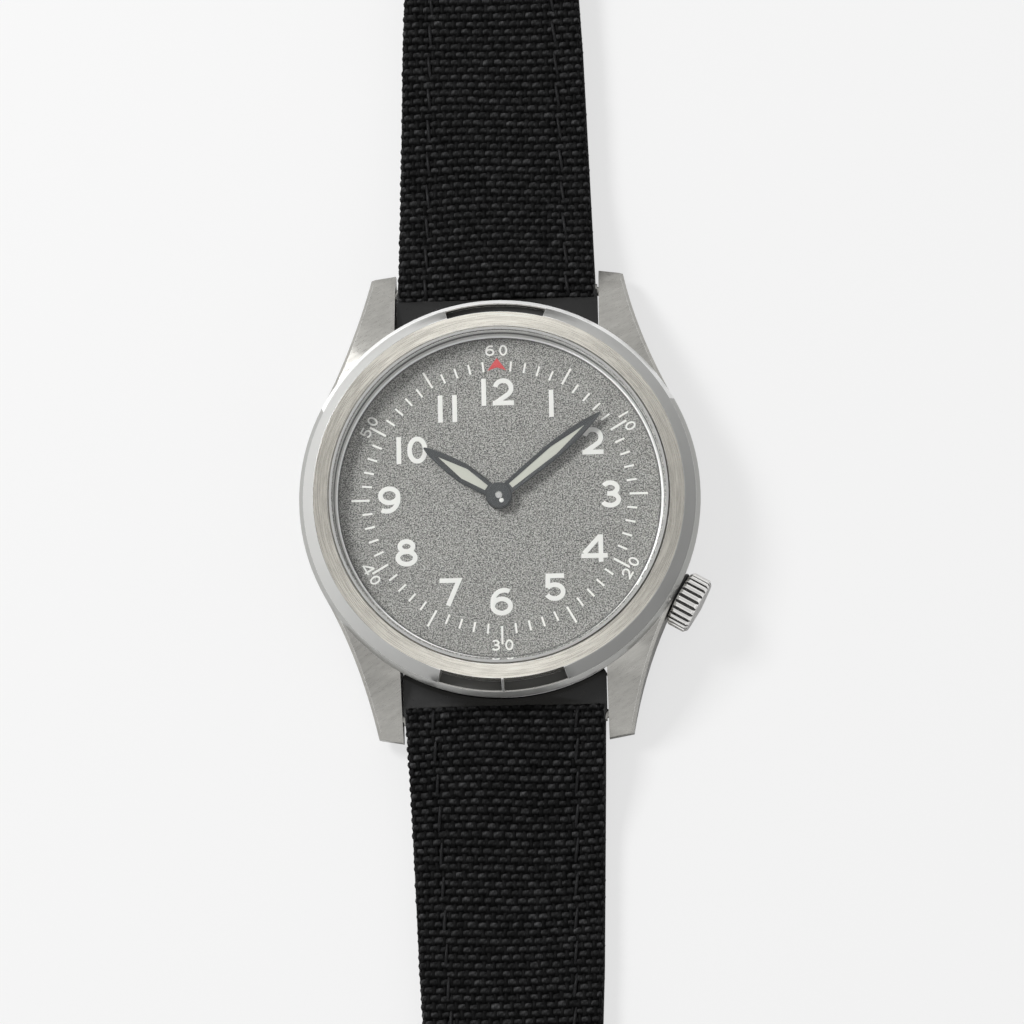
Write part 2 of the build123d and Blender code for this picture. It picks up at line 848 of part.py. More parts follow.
def bar_between(start, end, width, low, high):
    """A flat bar with round ends between two places."""
    line = Vector(*end) - Vector(*start)
    face = SlotCenterToCenter(line.length, width)
    turn = math.degrees(math.atan2(line.Y, line.X))
    middle = (Vector(*start) + Vector(*end)) / 2
    return Pos(middle.X, middle.Y, low) * (Rot(0, 0, turn) * extrude(face, high - low))


def build_stator():
    """The stator plate round the rotor, with an arm to each end of the coil's core."""
    low = bridge_top_z + stator_gap
    high = low + stator_height
    body = Pos(*rotor_place, 0) * disc(stator_hub_radius, low, high)
    body += bar_between(rotor_place, coil_start, stator_arm_width, low, high)
    elbow = (coil_end[0], rotor_place[1])
    body += bar_between(rotor_place, elbow, stator_arm_width, low, high)
    body += bar_between(elbow, coil_end, stator_arm_width, low, high)
    return body - Pos(*rotor_place, 0) * disc(stator_bore_radius, low, high)


def build_coil_core():
    """The flat core through the coil, lying on the stator's arms."""
    low = bridge_top_z + stator_gap + stator_height
    return bar_between(coil_start, coil_end, coil_core_width, low, low + coil_core_height)


def build_coil_winding():
    """The outer shape of the coil's fine winding."""
    line = Vector(*coil_end) - Vector(*coil_start)
    turn = math.degrees(math.atan2(line.Y, line.X))
    z = bridge_top_z + stator_gap + stator_height + coil_core_height / 2
    body = rod_x(coil_radius, coil_end_margin, line.length - coil_end_margin, 0, 0)
    body = Pos(coil_start[0], coil_start[1], z) * (Rot(0, 0, turn) * body)
    return body - build_coil_core()


def build_oscillator():
    """The quartz oscillator's can, lying on the bridge."""
    x, y = polar(oscillator_reach, oscillator_angle)
    body = rod_x(oscillator_radius, -oscillator_length / 2, oscillator_length / 2, 0, 0)
    return Pos(x, y, bridge_top_z + oscillator_radius) * (Rot(0, 0, oscillator_angle + 90) * body)


def build_bridge_screws():
    """The slotted screws that hold the bridge to the main plate's pillars."""
    head = disc(screw_head_radius, bridge_bottom_z - screw_head_height, bridge_bottom_z)
    slot = Box(screw_head_radius * 2 + overrun, screw_slot_width, screw_slot_depth * 2)
    head -= Pos(0, 0, bridge_bottom_z - screw_head_height) * slot
    screw = head + disc(screw_radius, bridge_bottom_z, bridge_bottom_z + screw_grip)
    return Compound([Pos(*polar(place, angle), 0) * screw for place, angle in pillar_places])


def build_movement_holder():
    """The ring that holds the movement in the case, with a hole for the stem."""
    outer = chamber_radius - holder_wall_fit
    low = back_flange_height + back_spigot_height + holder_back_gap
    body = ring(outer, movement_radius + holder_fit, low, dial_seat_z - holder_wall_fit)
    hole = rod_x(holder_stem_hole_radius, movement_radius - overrun, chamber_radius + overrun, 0, crown_z)
    return body - crown_direction * hole


# Crown, stem and tube
def build_crown_tube():
    """The tube pressed into the case, which the stem passes through."""
    tube = rod_x(tube_radius, tube_start, tube_end, 0, crown_z)
    bore = rod_x(stem_radius + stem_fit, tube_start - overrun, tube_end + overrun, 0, crown_z)
    return crown_direction * (tube - bore)


def crown_outline():
    """The ribbed outline of the crown, seen along its axis: round ribs with narrow grooves."""
    pitch_angle = 360 / crown_ribs
    half_groove = pitch_angle * crown_rib_share / 2
    root_radius = crown_radius - crown_rib_rise
    edges = []
    for index in range(crown_ribs):
        start = polar(root_radius, index * pitch_angle + half_groove)
        middle = polar(crown_radius, (index + 0.5) * pitch_angle)
        end = polar(root_radius, (index + 1) * pitch_angle - half_groove)
        edges.append(ThreePointArc(start, middle, end))
        edges.append(Line(end, polar(root_radius, (index + 1) * pitch_angle + half_groove)))
    return make_face(edges)


def build_crown():
    """The ribbed crown with its slightly domed end, hollow over the tube and its seal."""
    ribbed = extrude(crown_outline(), crown_length)
    envelope = turned([
        (0, 0),
        (crown_radius - crown_bevel, 0),
        (crown_radius, crown_bevel),
        (crown_radius, crown_length - crown_bevel - crown_dome),
        (crown_radius - crown_bevel, crown_length - crown_dome),
        (0, crown_length),
    ])
    body = ribbed & envelope
    body -= disc(crown_recess_radius, 0, crown_recess_depth)
    body -= disc(stem_radius, 0, crown_recess_depth + crown_stem_grip)
    body = Pos(crown_start, 0, crown_z) * (Rot(0, 90, 0) * body)
    return crown_direction * body


def build_crown_seal():
    """The seal ring between the crown and the tube; it slides but doesn't turn."""
    inner = tube_radius + crown_seal_fit
    outer = crown_recess_radius - crown_seal_fit
    low = (crown_recess_depth - crown_seal_thickness) / 2 - crown_seal_setback
    body = ring(outer, inner, low, low + crown_seal_thickness)
    return crown_direction * (Pos(crown_start, 0, crown_z) * (Rot(0, 90, 0) * body))


def build_stem():
    """The winding stem from the crown to the clutch wheel."""
    end = crown_start + crown_recess_depth + crown_stem_grip
    return crown_direction * rod_x(stem_radius, stem_start, end, 0, crown_z)


def build_clutch_wheel():
    """The clutch wheel on the stem."""
    body = extrude(gear_face(clutch_teeth, clutch_module, 0), clutch_length)
    body -= disc(stem_radius, 0, clutch_length)
    return crown_direction * (Pos(clutch_start, 0, crown_z) * (Rot(0, 90, 0) * body))


# Spring bars
bar_tube_half = half_gap - bar_shoulder_gap - bar_collar_length - bar_tip_travel - bar_tip_fit


def build_spring_bar():
    """A spring bar's tube, drilled from both ends for its tips."""
    tube = rod_x(bar_radius, -bar_tube_half, bar_tube_half, bar_reach, bar_z)
    bore_start = bar_tube_half - bar_bore_depth
    for side in (-1, 1):
        tube -= rod_x(bar_tip_radius + bar_tip_fit, side * bore_start, side * (bar_tube_half + overrun),
                      bar_reach, bar_z)
    return tube


def build_bar_tip():
    """The right tip of a spring bar: a pin with a collar, its end in the lug's hole."""
    collar_end = half_gap - bar_shoulder_gap
    pin_start = bar_tube_half - bar_bore_depth + bar_tip_travel + bar_tip_fit
    pin = rod_x(bar_tip_radius, pin_start, half_gap + bar_tip_length, bar_reach, bar_z)
    collar = rod_x(bar_collar_radius, collar_end - bar_collar_length, collar_end, bar_reach, bar_z)
    return pin + collar


# Strap halves, drawn along +Y; the 6 o'clock half is mirrored
def strap_plan(length, pointed):
    """A strap half from above, from the spring bar to its end."""
    half_widths = [(strap_width / 2, -strap_loop_radius * 2), (strap_width / 2, 0),
                   (strap_mid_width / 2, strap_mid_reach), (strap_end_width / 2, strap_end_reach)]
    if pointed:
        point_start = length - tail_point_length
        half_widths.append((strap_end_width / 2, point_start))
        left = [(-x, y) for x, y in reversed(half_widths)]
        shoulder_y = point_start + tail_point_length * tail_point_share
        bend = strap_end_width / 2 * tail_bend_share
        edges = Polyline(*left, *half_widths).edges()
        right_curve = ThreePointArc((strap_end_width / 2, point_start), (bend, shoulder_y), (0, length))
        left_curve = ThreePointArc((0, length), (-bend, shoulder_y), (-strap_end_width / 2, point_start))
        outline = make_face([*edges, right_curve, left_curve])
    else:
        half_widths.append((strap_end_width / 2, length + buckle_loop_radius * 2))
        left = [(-x, y) for x, y in reversed(half_widths)]
        outline = make_face(Polyline(*half_widths, *left, close=True))
    height = bar_z + strap_loop_radius * 2
    return Pos(0, bar_reach, 0) * extrude(outline, height)


def layer_slab(start, end, lift, low_offset, high_offset):
    """A slab between two curves; an offset is (from the top curve or the bottom curve, height)."""
    def curve(offset):
        from_top, rise = offset
        if from_top:
            begin = Vector(canvas_start, bar_z + strap_loop_radius + strap_shoulder_rise + rise)
            landing = Vector(strap_top_landing, lift + strap_thickness + rise)
        else:
            begin = Vector(0, bar_z - strap_loop_radius + rise)
            landing = Vector(strap_bottom_landing, lift + rise)
        bend = Spline(begin, landing, tangents=[(1, 0), (1, 0)])
        flat = Line(landing, (end, landing.Y))
        return begin, [bend, flat], Vector(end, landing.Y)

    low_begin, low_edges, low_end = curve(low_offset)
    high_begin, high_edges, high_end = curve(high_offset)
    closing = [Line(low_end, high_end)]
    if low_begin.X > high_begin.X:
        low_edges.append(Line((high_begin.X, low_begin.Y), low_begin))
        low_begin = Vector(high_begin.X, low_begin.Y)
    if high_begin.X > low_begin.X:
        high_edges.append(Line((low_begin.X, high_begin.Y), high_begin))
        high_begin = Vector(low_begin.X, high_begin.Y)
    closing.append(Line(low_begin, high_begin))
    face = make_face([*low_edges, *high_edges, *closing])
    slab = Pos(0, bar_reach, 0) * side_slab(face, -strap_width, strap_width)
    keep = Pos(0, bar_reach + (start + end) / 2, 0) * Box(
        strap_width * 2, end - start, lug_reach * 2)
    return slab & keep


def loop_rod(radius, reach, z):
    """A rod across the strap at one of its bars."""
    return rod_x(radius, -strap_width, strap_width, reach, z)


def strap_layers(length, lift, pointed):
    """The canvas, filler and lining of one strap half."""
    plan = strap_plan(length, pointed)
    end = length if pointed else length - buckle_loop_radius / 2
    canvas_low = (True, -canvas_thickness)
    lining_high = (False, lining_thickness)
    canvas = layer_slab(canvas_start, end, lift, canvas_low, (True, 0)) & plan
    filler = layer_slab(filler_start, end, lift, lining_high, canvas_low) & plan
    lining = layer_slab(0, end, lift, (False, 0), lining_high) & plan
    outer_loop = loop_rod(strap_loop_radius, bar_reach, bar_z)
    lining += (outer_loop & plan) + build_horns(plan)
    lining -= loop_rod(bar_radius + strap_loop_fit, bar_reach, bar_z)
    canvas -= outer_loop
    filler -= outer_loop
    if pointed:
        holes = tail_holes(length, lift)
        return canvas - holes, filler - holes, lining - holes
    end_loop = loop_rod(buckle_loop_radius, buckle_bar_reach, buckle_bar_z)
    slot_start = buckle_bar_reach - tongue_slot_length
    slot_end = buckle_bar_reach + buckle_loop_radius * 2
    slot = Pos(0, (slot_start + slot_end) / 2, buckle_bar_z) * Box(
        tongue_slot_width, slot_end - slot_start, strap_thickness * 2)
    lining += end_loop & plan
    lining -= loop_rod(buckle_bar_radius + buckle_loop_fit, buckle_bar_reach, buckle_bar_z)
    return canvas - end_loop - slot, filler - end_loop - slot, lining - slot


def build_horns(plan):
    """The smooth shaped end of the lining that fills the corners beside the round case."""
    block = Pos(0, bar_reach - horn_depth / 2, (horn_top_z + horn_bottom_z) / 2)
    block *= Box((half_gap - horn_fit) * 2, horn_depth, horn_top_z - horn_bottom_z)
    return block - disc(case_radius + horn_gap, 0, bar_z + strap_loop_radius * 2)


def tail_holes(length, lift):
    """The row of tongue holes in the tail half."""
    holes = Part()
    for index in range(tail_hole_count):
        reach = bar_reach + length - tail_hole_setback - index * tail_hole_pitch
        holes += Pos(0, reach, 0) * disc(tail_hole_radius, lift, lift + strap_thickness)
    return holes


def build_keeper(reach, gap):
    """A flat loop round the strap half, open above it for the tail."""
    width = strap_end_width + keeper_side_gap * 2
    height = strap_thickness * 2 + keeper_slack
    middle_z = buckle_half_lift - gap + height / 2
    margin = keeper_thickness * 2
    outer = RectangleRounded(width + margin, height + margin, keeper_corner_radius)
    inner = RectangleRounded(width, height, keeper_corner_radius - keeper_thickness)
    face = Plane.XZ * (outer - inner)
    return Pos(0, bar_reach + reach + keeper_width / 2, middle_z) * extrude(face, keeper_width)


# Buckle, drawn about its bar and turned down until it lies on the table
buckle_half_window = strap_end_width / 2 + buckle_side_gap
buckle_half_width = buckle_half_window + buckle_arm_width
buckle_length = buckle_reach + buckle_front_width
buckle_droop = math.degrees(math.asin(
    (buckle_bar_z - buckle_thickness / 2 - buckle_rest_gap) / buckle_length))
buckle_frame_place = Pos(0, buckle_bar_reach, buckle_bar_z) * Rot(-buckle_droop, 0, 0)
tongue_bottom = buckle_thickness / 2 - tongue_seat_depth + tongue_rest_gap


def build_buckle_frame():
    """The U-shaped frame with rounded corners, bar sockets and a seat for the tongue."""
    length = buckle_length + buckle_heel
    middle_y = (buckle_length - buckle_heel) / 2
    plate = Pos(0, middle_y, -buckle_thickness / 2)
    plate *= extrude(Rectangle(buckle_half_width * 2, length), buckle_thickness)
    corners = plate.edges().filter_by(Axis.Z).group_by(Axis.Y)[-1]
    plate = fillet(corners, buckle_corner_radius)
    heels = plate.edges().filter_by(Axis.Z).group_by(Axis.Y)[0]
    plate = fillet(heels, buckle_arm_width / 2 - buckle_rest_gap)
    window_length = buckle_reach + buckle_heel + overrun
    window = Pos(0, buckle_reach - window_length / 2, 0) * Box(
        buckle_half_window * 2, window_length, buckle_thickness * 2)
    plate -= window
    top = plate.faces().sort_by(Axis.Z)[-1]
    plate = fillet(top.edges(), buckle_edge_radius)
    reach = buckle_half_window + buckle_bar_hole_depth
    plate -= rod_x(buckle_bar_radius + screw_fit, -reach, reach, 0, 0)
    seat_top = tongue_bottom - tongue_rest_gap
    seat = Pos(0, buckle_reach + buckle_front_width / 2, seat_top + buckle_thickness / 2)
    plate -= seat * Box(tongue_width + tongue_seat_gap * 2, buckle_front_width * 2, buckle_thickness)
    return buckle_frame_place * plate


def build_buckle_bar():
    """The bar that joins the buckle to the strap."""
    reach = buckle_half_window + buckle_bar_hole_depth - screw_fit
    return buckle_frame_place * rod_x(buckle_bar_radius, -reach, reach, 0, 0)


def build_tongue():
    """The tongue: a ring on the bar and a tapering pin that lies in the frame's seat."""
    tip = buckle_length + tongue_overhang
    outline = make_face(Polyline(
        (0, tongue_ring_radius),
        (buckle_reach, tongue_bottom + tongue_thickness),
        (tip, tongue_bottom + tongue_tip_thickness),
        (tip, tongue_bottom),
        (buckle_reach - buckle_heel, tongue_bottom),
        (tongue_ring_radius, 0),
        (0, 0),
        close=True,
    ))
    pin = side_slab(outline, -tongue_width / 2, tongue_width / 2)
    eye = rod_x(tongue_ring_radius, -tongue_width / 2, tongue_width / 2, 0, 0)
    hole = rod_x(buckle_bar_radius + tongue_ring_fit, -tongue_width, tongue_width, 0, 0)
    return buckle_frame_place * (pin + eye - hole)


# Write every sub-part
hour_outlines = hand_outlines(hour_hand_length, hour_hand_half_width, hour_hand_widest_share,
                              hour_lume_length, hour_lume_half_width)
minute_outlines = hand_outlines(minute_hand_length, minute_hand_half_width, minute_hand_widest_share,
                                minute_lume_length, minute_lume_half_width)
hour_turn = Rot(0, 0, -hour_hand_angle)
minute_turn = Rot(0, 0, -minute_hand_angle)
gasket_top = crystal_seat_z + crystal_edge_height
upper_canvas, upper_filler, upper_lining = strap_layers(buckle_half_length, buckle_half_lift, False)
lower_canvas, lower_filler, lower_lining = strap_layers(tail_half_length, 0, True)
spring_bar = build_spring_bar()
right_tip = build_bar_tip()
left_tip = mirror(right_tip, Plane.YZ)

save("mid_case", build_mid_case(), steel)
save("bezel", build_bezel(), steel)
save("crystal", build_crystal(), clear)
save("crystal_gasket", ring(bezel_bore_radius, crystal_radius, crystal_seat_z, gasket_top), white_plastic)
save("inner_ring", build_inner_ring(), steel)
save("dial", build_dial(), grey_dial)
save("case_back", build_case_back(), steel)
save("back_gasket", ring(gasket_groove_radius + gasket_width, gasket_groove_radius,
                         case_base_z, case_base_z + gasket_height), black_rubber)
save("movement_holder", build_movement_holder(), white_plastic)

save("main_plate", build_main_plate(), brass)
save("train_bridge", build_train_bridge(), dark_steel)
save("circuit_board", build_circuit_board(), green_board)
save("battery", build_battery(), steel)
save("battery_clamp", clamp_strip(0), dark_steel)
save("stator", build_stator(), dark_steel)
save("coil_core", build_coil_core(), dark_steel)
save("coil_winding", build_coil_winding(), copper)
save("oscillator", build_oscillator(), steel)
save("bridge_screws", build_bridge_screws(), dark_steel)
save("center_wheel", build_center_wheel(), steel)
save("third_wheel", build_third_wheel(), brass)
save("step_wheel", build_step_wheel(), brass)
save("rotor", build_rotor(), dark_steel)
save("cannon_pinion", build_cannon_pinion(), steel)
save("minute_wheel", build_minute_wheel(), brass)
save("hour_wheel", build_hour_wheel(), brass)

save("hour_hand", hour_turn * build_hand(
    hour_outlines, hour_hand_boss_radius, hour_tube_radius, hour_hand_z,
    hour_hand_z + hand_thickness), slate)
save("hour_lume", hour_turn * build_lume(hour_outlines, hour_hand_z), cream)
save("minute_hand", minute_turn * build_hand(
    minute_outlines, minute_hand_boss_radius, center_arbor_radius, minute_hand_z,
    minute_hand_z + boss_height), slate)
save("minute_lume", minute_turn * build_lume(minute_outlines, minute_hand_z), cream)

save("crown_tube", build_crown_tube(), steel)
save("crown", build_crown(), steel)
save("crown_seal", build_crown_seal(), black_rubber)
save("winding_stem", build_stem(), dark_steel)
save("clutch_wheel", build_clutch_wheel(), dark_steel)

save("upper_spring_bar", spring_bar, steel)
save("upper_left_tip", left_tip, steel)
save("upper_right_tip", right_tip, steel)
save("lower_spring_bar", mirror(spring_bar, Plane.XZ), steel)
save("lower_left_tip", mirror(left_tip, Plane.XZ), steel)
save("lower_right_tip", mirror(right_tip, Plane.XZ), steel)

save("upper_canvas", upper_canvas, black_cloth)
save("upper_filler", upper_filler, black_rubber)
save("upper_lining", upper_lining, black_leather)
save("lower_canvas", mirror(lower_canvas, Plane.XZ), black_cloth)
save("lower_filler", mirror(lower_filler, Plane.XZ), black_rubber)
save("lower_lining", mirror(lower_lining, Plane.XZ), black_leather)
save("fixed_keeper", build_keeper(fixed_keeper_reach, 0), black_leather)
save("free_keeper", build_keeper(free_keeper_reach, free_keeper_fit), black_leather)
save("buckle_frame", build_buckle_frame(), steel)
save("buckle_bar", build_buckle_bar(), steel)
save("buckle_tongue", build_tongue(), steel)
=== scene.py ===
import math

import bmesh
import bpy
import numpy as np
from mathutils import Matrix, Vector


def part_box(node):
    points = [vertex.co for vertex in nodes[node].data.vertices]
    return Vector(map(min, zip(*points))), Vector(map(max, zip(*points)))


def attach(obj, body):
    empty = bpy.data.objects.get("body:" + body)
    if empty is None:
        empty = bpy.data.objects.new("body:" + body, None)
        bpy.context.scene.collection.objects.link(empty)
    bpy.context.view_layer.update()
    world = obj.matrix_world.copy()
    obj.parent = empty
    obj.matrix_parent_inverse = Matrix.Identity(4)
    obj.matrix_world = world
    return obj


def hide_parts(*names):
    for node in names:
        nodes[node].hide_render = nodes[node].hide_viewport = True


# Field watch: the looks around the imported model. Metres, dial up, 12 o'clock towards +Y.

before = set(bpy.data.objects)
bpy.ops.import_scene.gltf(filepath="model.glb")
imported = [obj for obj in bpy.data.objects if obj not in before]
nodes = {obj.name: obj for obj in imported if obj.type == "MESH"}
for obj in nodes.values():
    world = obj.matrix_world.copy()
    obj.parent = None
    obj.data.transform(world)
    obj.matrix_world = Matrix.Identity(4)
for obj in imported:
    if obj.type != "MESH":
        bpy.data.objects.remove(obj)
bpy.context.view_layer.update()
mm = 0.001


def selectNone():
    for item in bpy.context.selected_objects:
        item.select_set(False)
    bpy.context.view_layer.objects.active = None


selectNone()
print("frame loaded,", len(nodes), "nodes")


# Small helpers for shader nodes

def newTree(name):
    material = bpy.data.materials.new(name)
    material.use_nodes = True
    tree = material.node_tree
    return material, tree, tree.nodes["Principled BSDF"]


def addNode(tree, kind, **values):
    node = tree.nodes.new(kind)
    for key, value in values.items():
        setattr(node, key, value)
    return node


def setInputs(node, **values):
    for key, value in values.items():
        node.inputs[key.replace("_", " ")].default_value = value


def feed(tree, socket, value):
    # a plain value is set on the socket, and an output is linked to it
    if isinstance(value, (int, float, tuple)):
        socket.default_value = value
    else:
        tree.links.new(value, socket)


def mathNode(tree, operation, *values):
    node = addNode(tree, "ShaderNodeMath", operation=operation)
    for socket, value in zip(node.inputs, values):
        feed(tree, socket, value)
    return node.outputs[0]


def vectorNode(tree, operation, *values):
    node = addNode(tree, "ShaderNodeVectorMath", operation=operation)
    for socket, value in zip(node.inputs, values):
        feed(tree, socket, value)
    return node.outputs


def combine(tree, *values):
    node = addNode(tree, "ShaderNodeCombineXYZ")
    for socket, value in zip(node.inputs, values):
        feed(tree, socket, value)
    return node.outputs[0]


def scaled(tree, vector, factor):
    node = addNode(tree, "ShaderNodeVectorMath", operation="SCALE")
    feed(tree, node.inputs[0], vector)
    feed(tree, node.inputs["Scale"], factor)
    return node.outputs[0]


def mixColor(tree, factor, low, high):
    mix = addNode(tree, "ShaderNodeMix", data_type="RGBA")
    tree.links.new(factor, mix.inputs["Factor"])
    mix.inputs["A"].default_value = (*low, 1)
    mix.inputs["B"].default_value = (*high, 1)
    return mix.outputs["Result"]


def spreadTo(tree, value, low, high, fromLow=0.3, fromHigh=0.7):
    node = addNode(tree, "ShaderNodeMapRange")
    setInputs(node, From_Min=fromLow, From_Max=fromHigh, To_Min=low, To_Max=high)
    tree.links.new(value, node.inputs["Value"])
    return node.outputs[0]


def objectPlace(tree):
    return addNode(tree, "ShaderNodeTexCoord").outputs["Object"]


def splitPlace(tree):
    split = addNode(tree, "ShaderNodeSeparateXYZ")
    tree.links.new(objectPlace(tree), split.inputs[0])
    return split.outputs


def flatPlace(tree):
    return vectorNode(tree, "MULTIPLY", objectPlace(tree), (1, 1, 0))[0]


def axisDistance(tree):
    return vectorNode(tree, "LENGTH", flatPlace(tree))["Value"]


def noiseNode(tree, place, scale, detail, rough=0.5):
    noise = addNode(tree, "ShaderNodeTexNoise")
    setInputs(noise, Detail=detail, Roughness=rough)
    tree.links.new(place, noise.inputs["Vector"])
    feed(tree, noise.inputs["Scale"], scale)
    return noise.outputs[0]


def addBump(tree, shader, height, strength, distance):
    bump = addNode(tree, "ShaderNodeBump")
    setInputs(bump, Strength=strength, Distance=distance)
    tree.links.new(height, bump.inputs["Height"])
    tree.links.new(bump.outputs[0], shader.inputs["Normal"])


def mixShaders(tree, factor, first, second):
    mix = addNode(tree, "ShaderNodeMixShader")
    for socket, value in zip(mix.inputs, (factor, first, second)):
        tree.links.new(value, socket)
    output = next(node for node in tree.nodes if node.type == "OUTPUT_MATERIAL")
    tree.links.new(mix.outputs[0], output.inputs["Surface"])


# Node groups that several materials share

def newGroup(name, inputs, outputs):
    group = bpy.data.node_groups.new(name, "ShaderNodeTree")
    for label, value in inputs.items():
        kind = "NodeSocketVector" if isinstance(value, tuple) else "NodeSocketFloat"
        socket = group.interface.new_socket(label, in_out="INPUT", socket_type=kind)
        socket.default_value = value
    for label in outputs:
        group.interface.new_socket(label, in_out="OUTPUT", socket_type="NodeSocketFloat")
    return group, addNode(group, "NodeGroupInput").outputs, addNode(group, "NodeGroupOutput").inputs


def placeGroup(tree, group, **values):
    node = addNode(tree, "ShaderNodeGroup", node_tree=group)
    setInputs(node, **values)
    return node.outputs


def makeStraightGrain():
    # brushing that runs straight: noise squeezed across the strokes
    group, entry, leave = newGroup(
        "straightGrain", {"Turn": (0, 0, 0), "Across": 9000.0, "Along": 350.0}, ("Value", "Broad"))
    turn = addNode(group, "ShaderNodeVectorRotate", rotation_type="EULER_XYZ")
    group.links.new(objectPlace(group), turn.inputs["Vector"])
    group.links.new(entry["Turn"], turn.inputs["Rotation"])
    stretch = combine(group, entry["Along"], entry["Across"], entry["Across"])
    strokes = vectorNode(group, "MULTIPLY", turn.outputs[0], stretch)[0]
    group.links.new(noiseNode(group, strokes, 1.0, 3.0, 0.65), leave["Value"])
    group.links.new(noiseNode(group, strokes, 0.22, 2.0), leave["Broad"])
    return group


def makeRoundGrain():
    # brushing that runs round the dial's axis
    group, entry, leave = newGroup("roundGrain", {"Across": 9000.0, "Along": 9.0}, ("Value", "Broad"))
    around = scaled(group, vectorNode(group, "NORMALIZE", flatPlace(group))[0], entry["Along"])
    depth = mathNode(group, "ADD", axisDistance(group), splitPlace(group)["Z"])
    across = combine(group, 0, 0, mathNode(group, "MULTIPLY", depth, entry["Across"]))
    strokes = vectorNode(group, "ADD", around, across)[0]
    group.links.new(noiseNode(group, strokes, 1.0, 2.0, 0.6), leave["Value"])
    group.links.new(noiseNode(group, strokes, 0.25, 2.0), leave["Broad"])
    return group


def makeWearMask():
    # faint handling marks, as a mask
    group, entry, leave = newGroup("wearMask", {"Scale": 600.0, "Amount": 0.5}, ("Mask",))
    marks = spreadTo(group, noiseNode(group, objectPlace(group), entry["Scale"], 4.0, 0.6), 0, 1, 0.42, 0.68)
    group.links.new(mathNode(group, "MULTIPLY", marks, entry["Amount"]), leave["Mask"])
    return group


straightGrain = makeStraightGrain()
roundGrain = makeRoundGrain()
wearMask = makeWearMask()


# Materials: each kind of finish, then the values that every finish has

# how high the bumps stand, in millimetres
bumpHeight = {"brush": 0.01, "coat": 0.02, "grain": 0.04, "fibre": 0.06}


def shades(color, spread):
    dark = [channel * (1 - spread) for channel in color]
    light = [min(1, channel * (1 + spread)) for channel in color]
    return dark, light


def grainedMetal(name, color, rough, contrast, grainGroup, **values):
    material, tree, shader = newTree(name)
    grain = placeGroup(tree, grainGroup, **values)
    both = mathNode(tree, "MULTIPLY", mathNode(tree, "ADD", grain["Value"], grain["Broad"]), 0.5)
    mixed = mixColor(tree, spreadTo(tree, both, 0, 1), *shades(color, contrast))
    tree.links.new(mixed, shader.inputs["Base Color"])
    tree.links.new(spreadTo(tree, grain["Value"], rough * 0.85, rough * 1.2), shader.inputs["Roughness"])
    setInputs(shader, Metallic=1.0)
    addBump(tree, shader, grain["Value"], 0.25, bumpHeight["brush"] * mm)
    return material


def brushedMetal(name, color, rough, turn=0, across=9000.0, along=350.0, contrast=0.14):
    lay = (0, 0, math.radians(turn))
    return grainedMetal(name, color, rough, contrast, straightGrain, Turn=lay, Across=across, Along=along)


def turnedMetal(name, color, rough, across=9000.0, along=9.0, contrast=0.14):
    return grainedMetal(name, color, rough, contrast, roundGrain, Across=across, Along=along)


def polishedMetal(name, color, rough, wear=0.05, metallic=1.0):
    material, tree, shader = newTree(name)
    mask = placeGroup(tree, wearMask, Scale=900.0, Amount=wear)
    tree.links.new(mathNode(tree, "ADD", mask["Mask"], rough), shader.inputs["Roughness"])
    setInputs(shader, Base_Color=(*color, 1), Metallic=metallic)
    return material


def plainCoat(name, color, rough, grain=4000.0, bump=0.15, spread=0.12, coat=0.0):
    material, tree, shader = newTree(name)
    noise = noiseNode(tree, objectPlace(tree), grain, 3.0, 0.6)
    tree.links.new(mixColor(tree, noise, *shades(color, spread)), shader.inputs["Base Color"])
    tree.links.new(spreadTo(tree, noise, rough * 0.9, rough * 1.1), shader.inputs["Roughness"])
    setInputs(shader, Coat_Weight=coat)
    addBump(tree, shader, noise, bump, bumpHeight["coat"] * mm)
    return material


def wovenCloth(name, color, rough, across, along, bump, shine, toned=False):
    material, tree, shader = newTree(name)
    stretch = addNode(tree, "ShaderNodeMapping")
    setInputs(stretch, Scale=(across, along, across))
    tree.links.new(objectPlace(tree), stretch.inputs["Vector"])
    fibre = noiseNode(tree, stretch.outputs[0], 1.0, 3.0, 0.65)
    patchy = noiseNode(tree, objectPlace(tree), 1300.0, 1.0)
    both = spreadTo(tree, mathNode(tree, "MULTIPLY", fibre, patchy), 0, 1, 0.15, 0.42)
    dark, light = ([channel * share for channel in color] for share in (0.45, 2.1))
    mixed = mixColor(tree, both, dark, light)
    # the tone attribute carries the threads' painted shade and painted highlight
    if toned:
        tone = addNode(tree, "ShaderNodeAttribute", attribute_name="tone")
        mixed = scaled(tree, mixed, tone.outputs["Fac"])
    tree.links.new(mixed, shader.inputs["Base Color"])
    setInputs(shader, Roughness=rough, Specular_IOR_Level=shine)
    addBump(tree, shader, fibre, bump, bumpHeight["fibre"] * mm)
    return material


dialLook = {
    "grain": 7800.0, "dark": (0.008, 0.008, 0.007), "light": (0.46, 0.46, 0.43),
    "rough": 0.55, "metallic": 0.25, "bump": 0.5,
    "shadeStart": 15.7, "shadeEnd": 15.88, "shade": 0.3,
}


def dialGrain():
    look = dialLook
    material, tree, shader = newTree("dialGrain")
    noise = noiseNode(tree, objectPlace(tree), look["grain"], 1.5, 0.7)
    color = mixColor(tree, spreadTo(tree, noise, 0, 1, 0.36, 0.66), look["dark"], look["light"])
    # the last stretch lies in the wall's shade
    shadeStart, shadeEnd = look["shadeStart"] * mm, look["shadeEnd"] * mm
    shade = spreadTo(tree, axisDistance(tree), 1.0, look["shade"], shadeStart, shadeEnd)
    tree.links.new(scaled(tree, color, shade), shader.inputs["Base Color"])
    setInputs(shader, Roughness=look["rough"], Metallic=look["metallic"])
    addBump(tree, shader, noise, look["bump"], bumpHeight["grain"] * mm)
    return material


